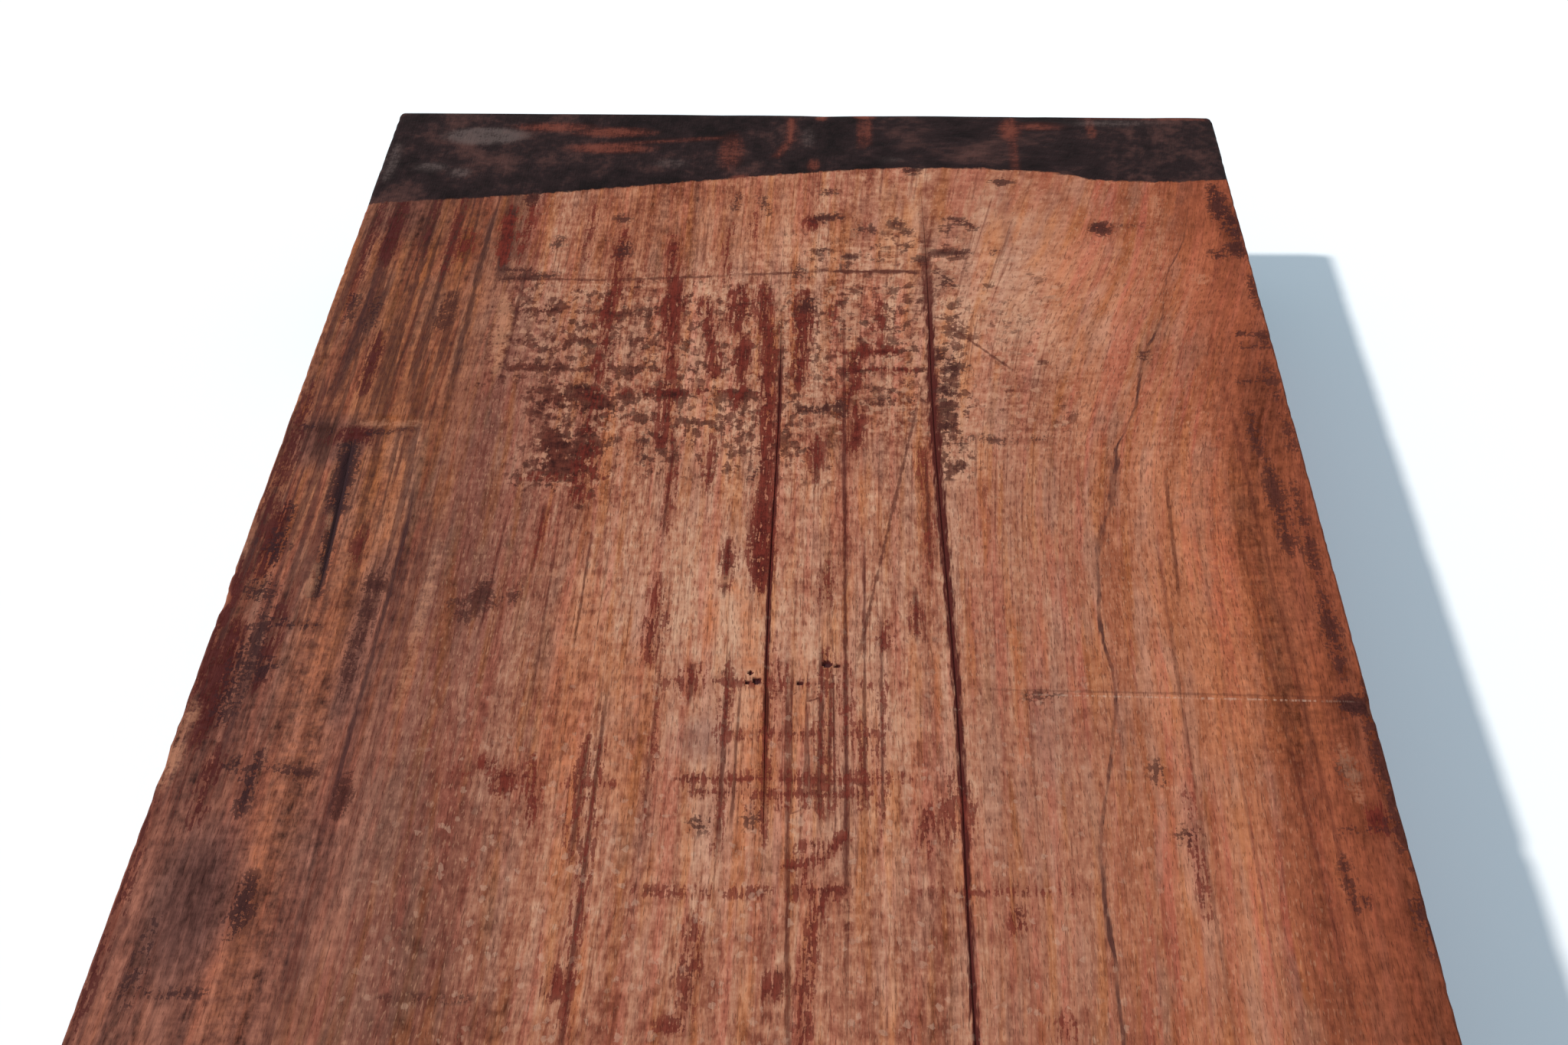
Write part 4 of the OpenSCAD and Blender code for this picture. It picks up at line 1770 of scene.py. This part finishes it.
@dataclass(frozen=True)
class Studio:
    """The pale floor, the soft light and the camera at the photograph's viewing angle.

    The floor and the nearest distance that the camera sees are in metres.
    """

    camera_place: tuple[float, float, float] = (11.4, -181.2, 292.5)
    yaw_deg: float = -2.05
    pitch_deg: float = 37.61
    roll_deg: float = -0.61
    lens: float = 50.0
    sensor_width: float = 36.0
    nearest_seen: float = 0.01
    floor_reach: float = 8.0
    floor_gap: float = 0.0004
    floor_parts: int = 4
    floor_colour: Colour = (0.93, 0.93, 0.93, 1.0)
    floor_roughness: float = 0.9
    floor_shine: float = 0.1
    floor_glow: Colour = (0.092, 0.162, 0.206, 1.0)
    light_travel: tuple[float, float, float] = (37.8, 11.4, -45.0)
    key_strength: float = 2.76
    key_spread_deg: float = 3.0
    key_colour: tuple[float, float, float] = (1.0, 0.97, 0.93)
    room_colour: Colour = (0.33, 0.36, 0.4, 1.0)
    seen_colour: Colour = (1.0, 1.0, 1.0, 1.0)

    def build(self) -> None:
        """Sets up the floor, the light and the camera."""
        self.lay_floor()
        self.hang_key()
        self.fill()
        self.place_camera()
        bpy.context.scene.view_settings.view_transform = "Standard"

    def lay_floor(self) -> None:
        """Lays the floor, which glows a little for the camera."""
        sheet = bmesh.new()
        parts = self.floor_parts
        bmesh.ops.create_grid(sheet, x_segments=parts, y_segments=parts, size=self.floor_reach)
        bmesh.ops.translate(sheet, vec=(0, 0, -self.floor_gap), verts=sheet.verts)
        mesh = bpy.data.meshes.new("floor")
        sheet.to_mesh(mesh)
        sheet.free()
        floor = bpy.data.objects.new("floor", mesh)
        bpy.context.scene.collection.objects.link(floor)
        material = bpy.data.materials.new("pale_floor")
        material.use_nodes = True
        graph = Graph(material.node_tree)
        shader = graph.node("ShaderNodeBsdfPrincipled", sockets={
            "Base Color": self.floor_colour, "Roughness": self.floor_roughness,
            "Specular IOR Level": self.floor_shine,
        })
        path = graph.node("ShaderNodeLightPath")
        glow = graph.node("ShaderNodeEmission", sockets={
            "Color": self.floor_glow, "Strength": path.outputs["Is Camera Ray"],
        })
        both = graph.node("ShaderNodeAddShader", sockets={0: shader.outputs[0], 1: glow.outputs[0]})
        graph.node("ShaderNodeOutputMaterial", sockets={"Surface": both.outputs[0]})
        mesh.materials.append(material)

    def hang_key(self) -> None:
        """Hangs the key light, which throws the plank's shadow to the right."""
        lamp = bpy.data.lights.new("key", "SUN")
        lamp.energy = self.key_strength
        lamp.angle = math.radians(self.key_spread_deg)
        lamp.color = self.key_colour
        key = bpy.data.objects.new("key", lamp)
        key.rotation_euler = Vector(self.light_travel).to_track_quat("-Z", "Y").to_euler()
        bpy.context.scene.collection.objects.link(key)

    def fill(self) -> None:
        """Lights the room evenly, with a white background for the camera and for reflections."""
        world = bpy.data.worlds.new("studio")
        world.use_nodes = True
        bpy.context.scene.world = world
        graph = Graph(world.node_tree)
        path = graph.node("ShaderNodeLightPath")
        seen = Value(graph, path.outputs["Is Camera Ray"])
        for name in ("Is Glossy Ray", "Is Transmission Ray"):
            seen = seen.most(Value(graph, path.outputs[name]))
        colour = graph.mix(self.room_colour, self.seen_colour, seen)
        background = graph.node("ShaderNodeBackground", sockets={"Color": colour, "Strength": 1.0})
        graph.node("ShaderNodeOutputWorld", sockets={"Surface": background.outputs[0]})

    def place_camera(self) -> None:
        """Places the camera by its yaw, pitch and roll."""
        yaw, pitch, roll = (math.radians(angle) for angle in (self.yaw_deg, self.pitch_deg, self.roll_deg))
        ahead = Vector((
            math.sin(yaw) * math.cos(pitch), math.cos(yaw) * math.cos(pitch), -math.sin(pitch),
        ))
        level = Vector((math.cos(yaw), -math.sin(yaw), 0))
        above = level.cross(ahead)
        right = math.cos(roll) * level + math.sin(roll) * above
        up = math.cos(roll) * above - math.sin(roll) * level
        data = bpy.data.cameras.new("camera")
        data.lens = self.lens
        data.sensor_width = self.sensor_width
        data.clip_start = self.nearest_seen
        camera = bpy.data.objects.new("camera", data)
        turned = Matrix((right, up, -ahead)).transposed().to_4x4()
        camera.matrix_world = Matrix.Translation(Vector(self.camera_place) * MM) @ turned
        bpy.context.scene.collection.objects.link(camera)
        bpy.context.scene.camera = camera


def main() -> None:
    """Builds the plank, dresses it and sets up the studio."""
    logging.basicConfig(level=logging.INFO, format="%(message)s")
    plank = PlankBody(*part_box("plank"), wax=WaxCoat())
    piece = plank.build()
    piece.data.materials.append(Timber(plank, Palette()).build())
    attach(piece, "root")
    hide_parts("plank")
    triangles = sum(len(polygon.vertices) - 2 for polygon in piece.data.polygons)
    log.info("%s: %d triangles, %d nodes", piece.name, triangles, len(piece.active_material.node_tree.nodes))
    Studio().build()


if __name__ == "__main__":
    main()
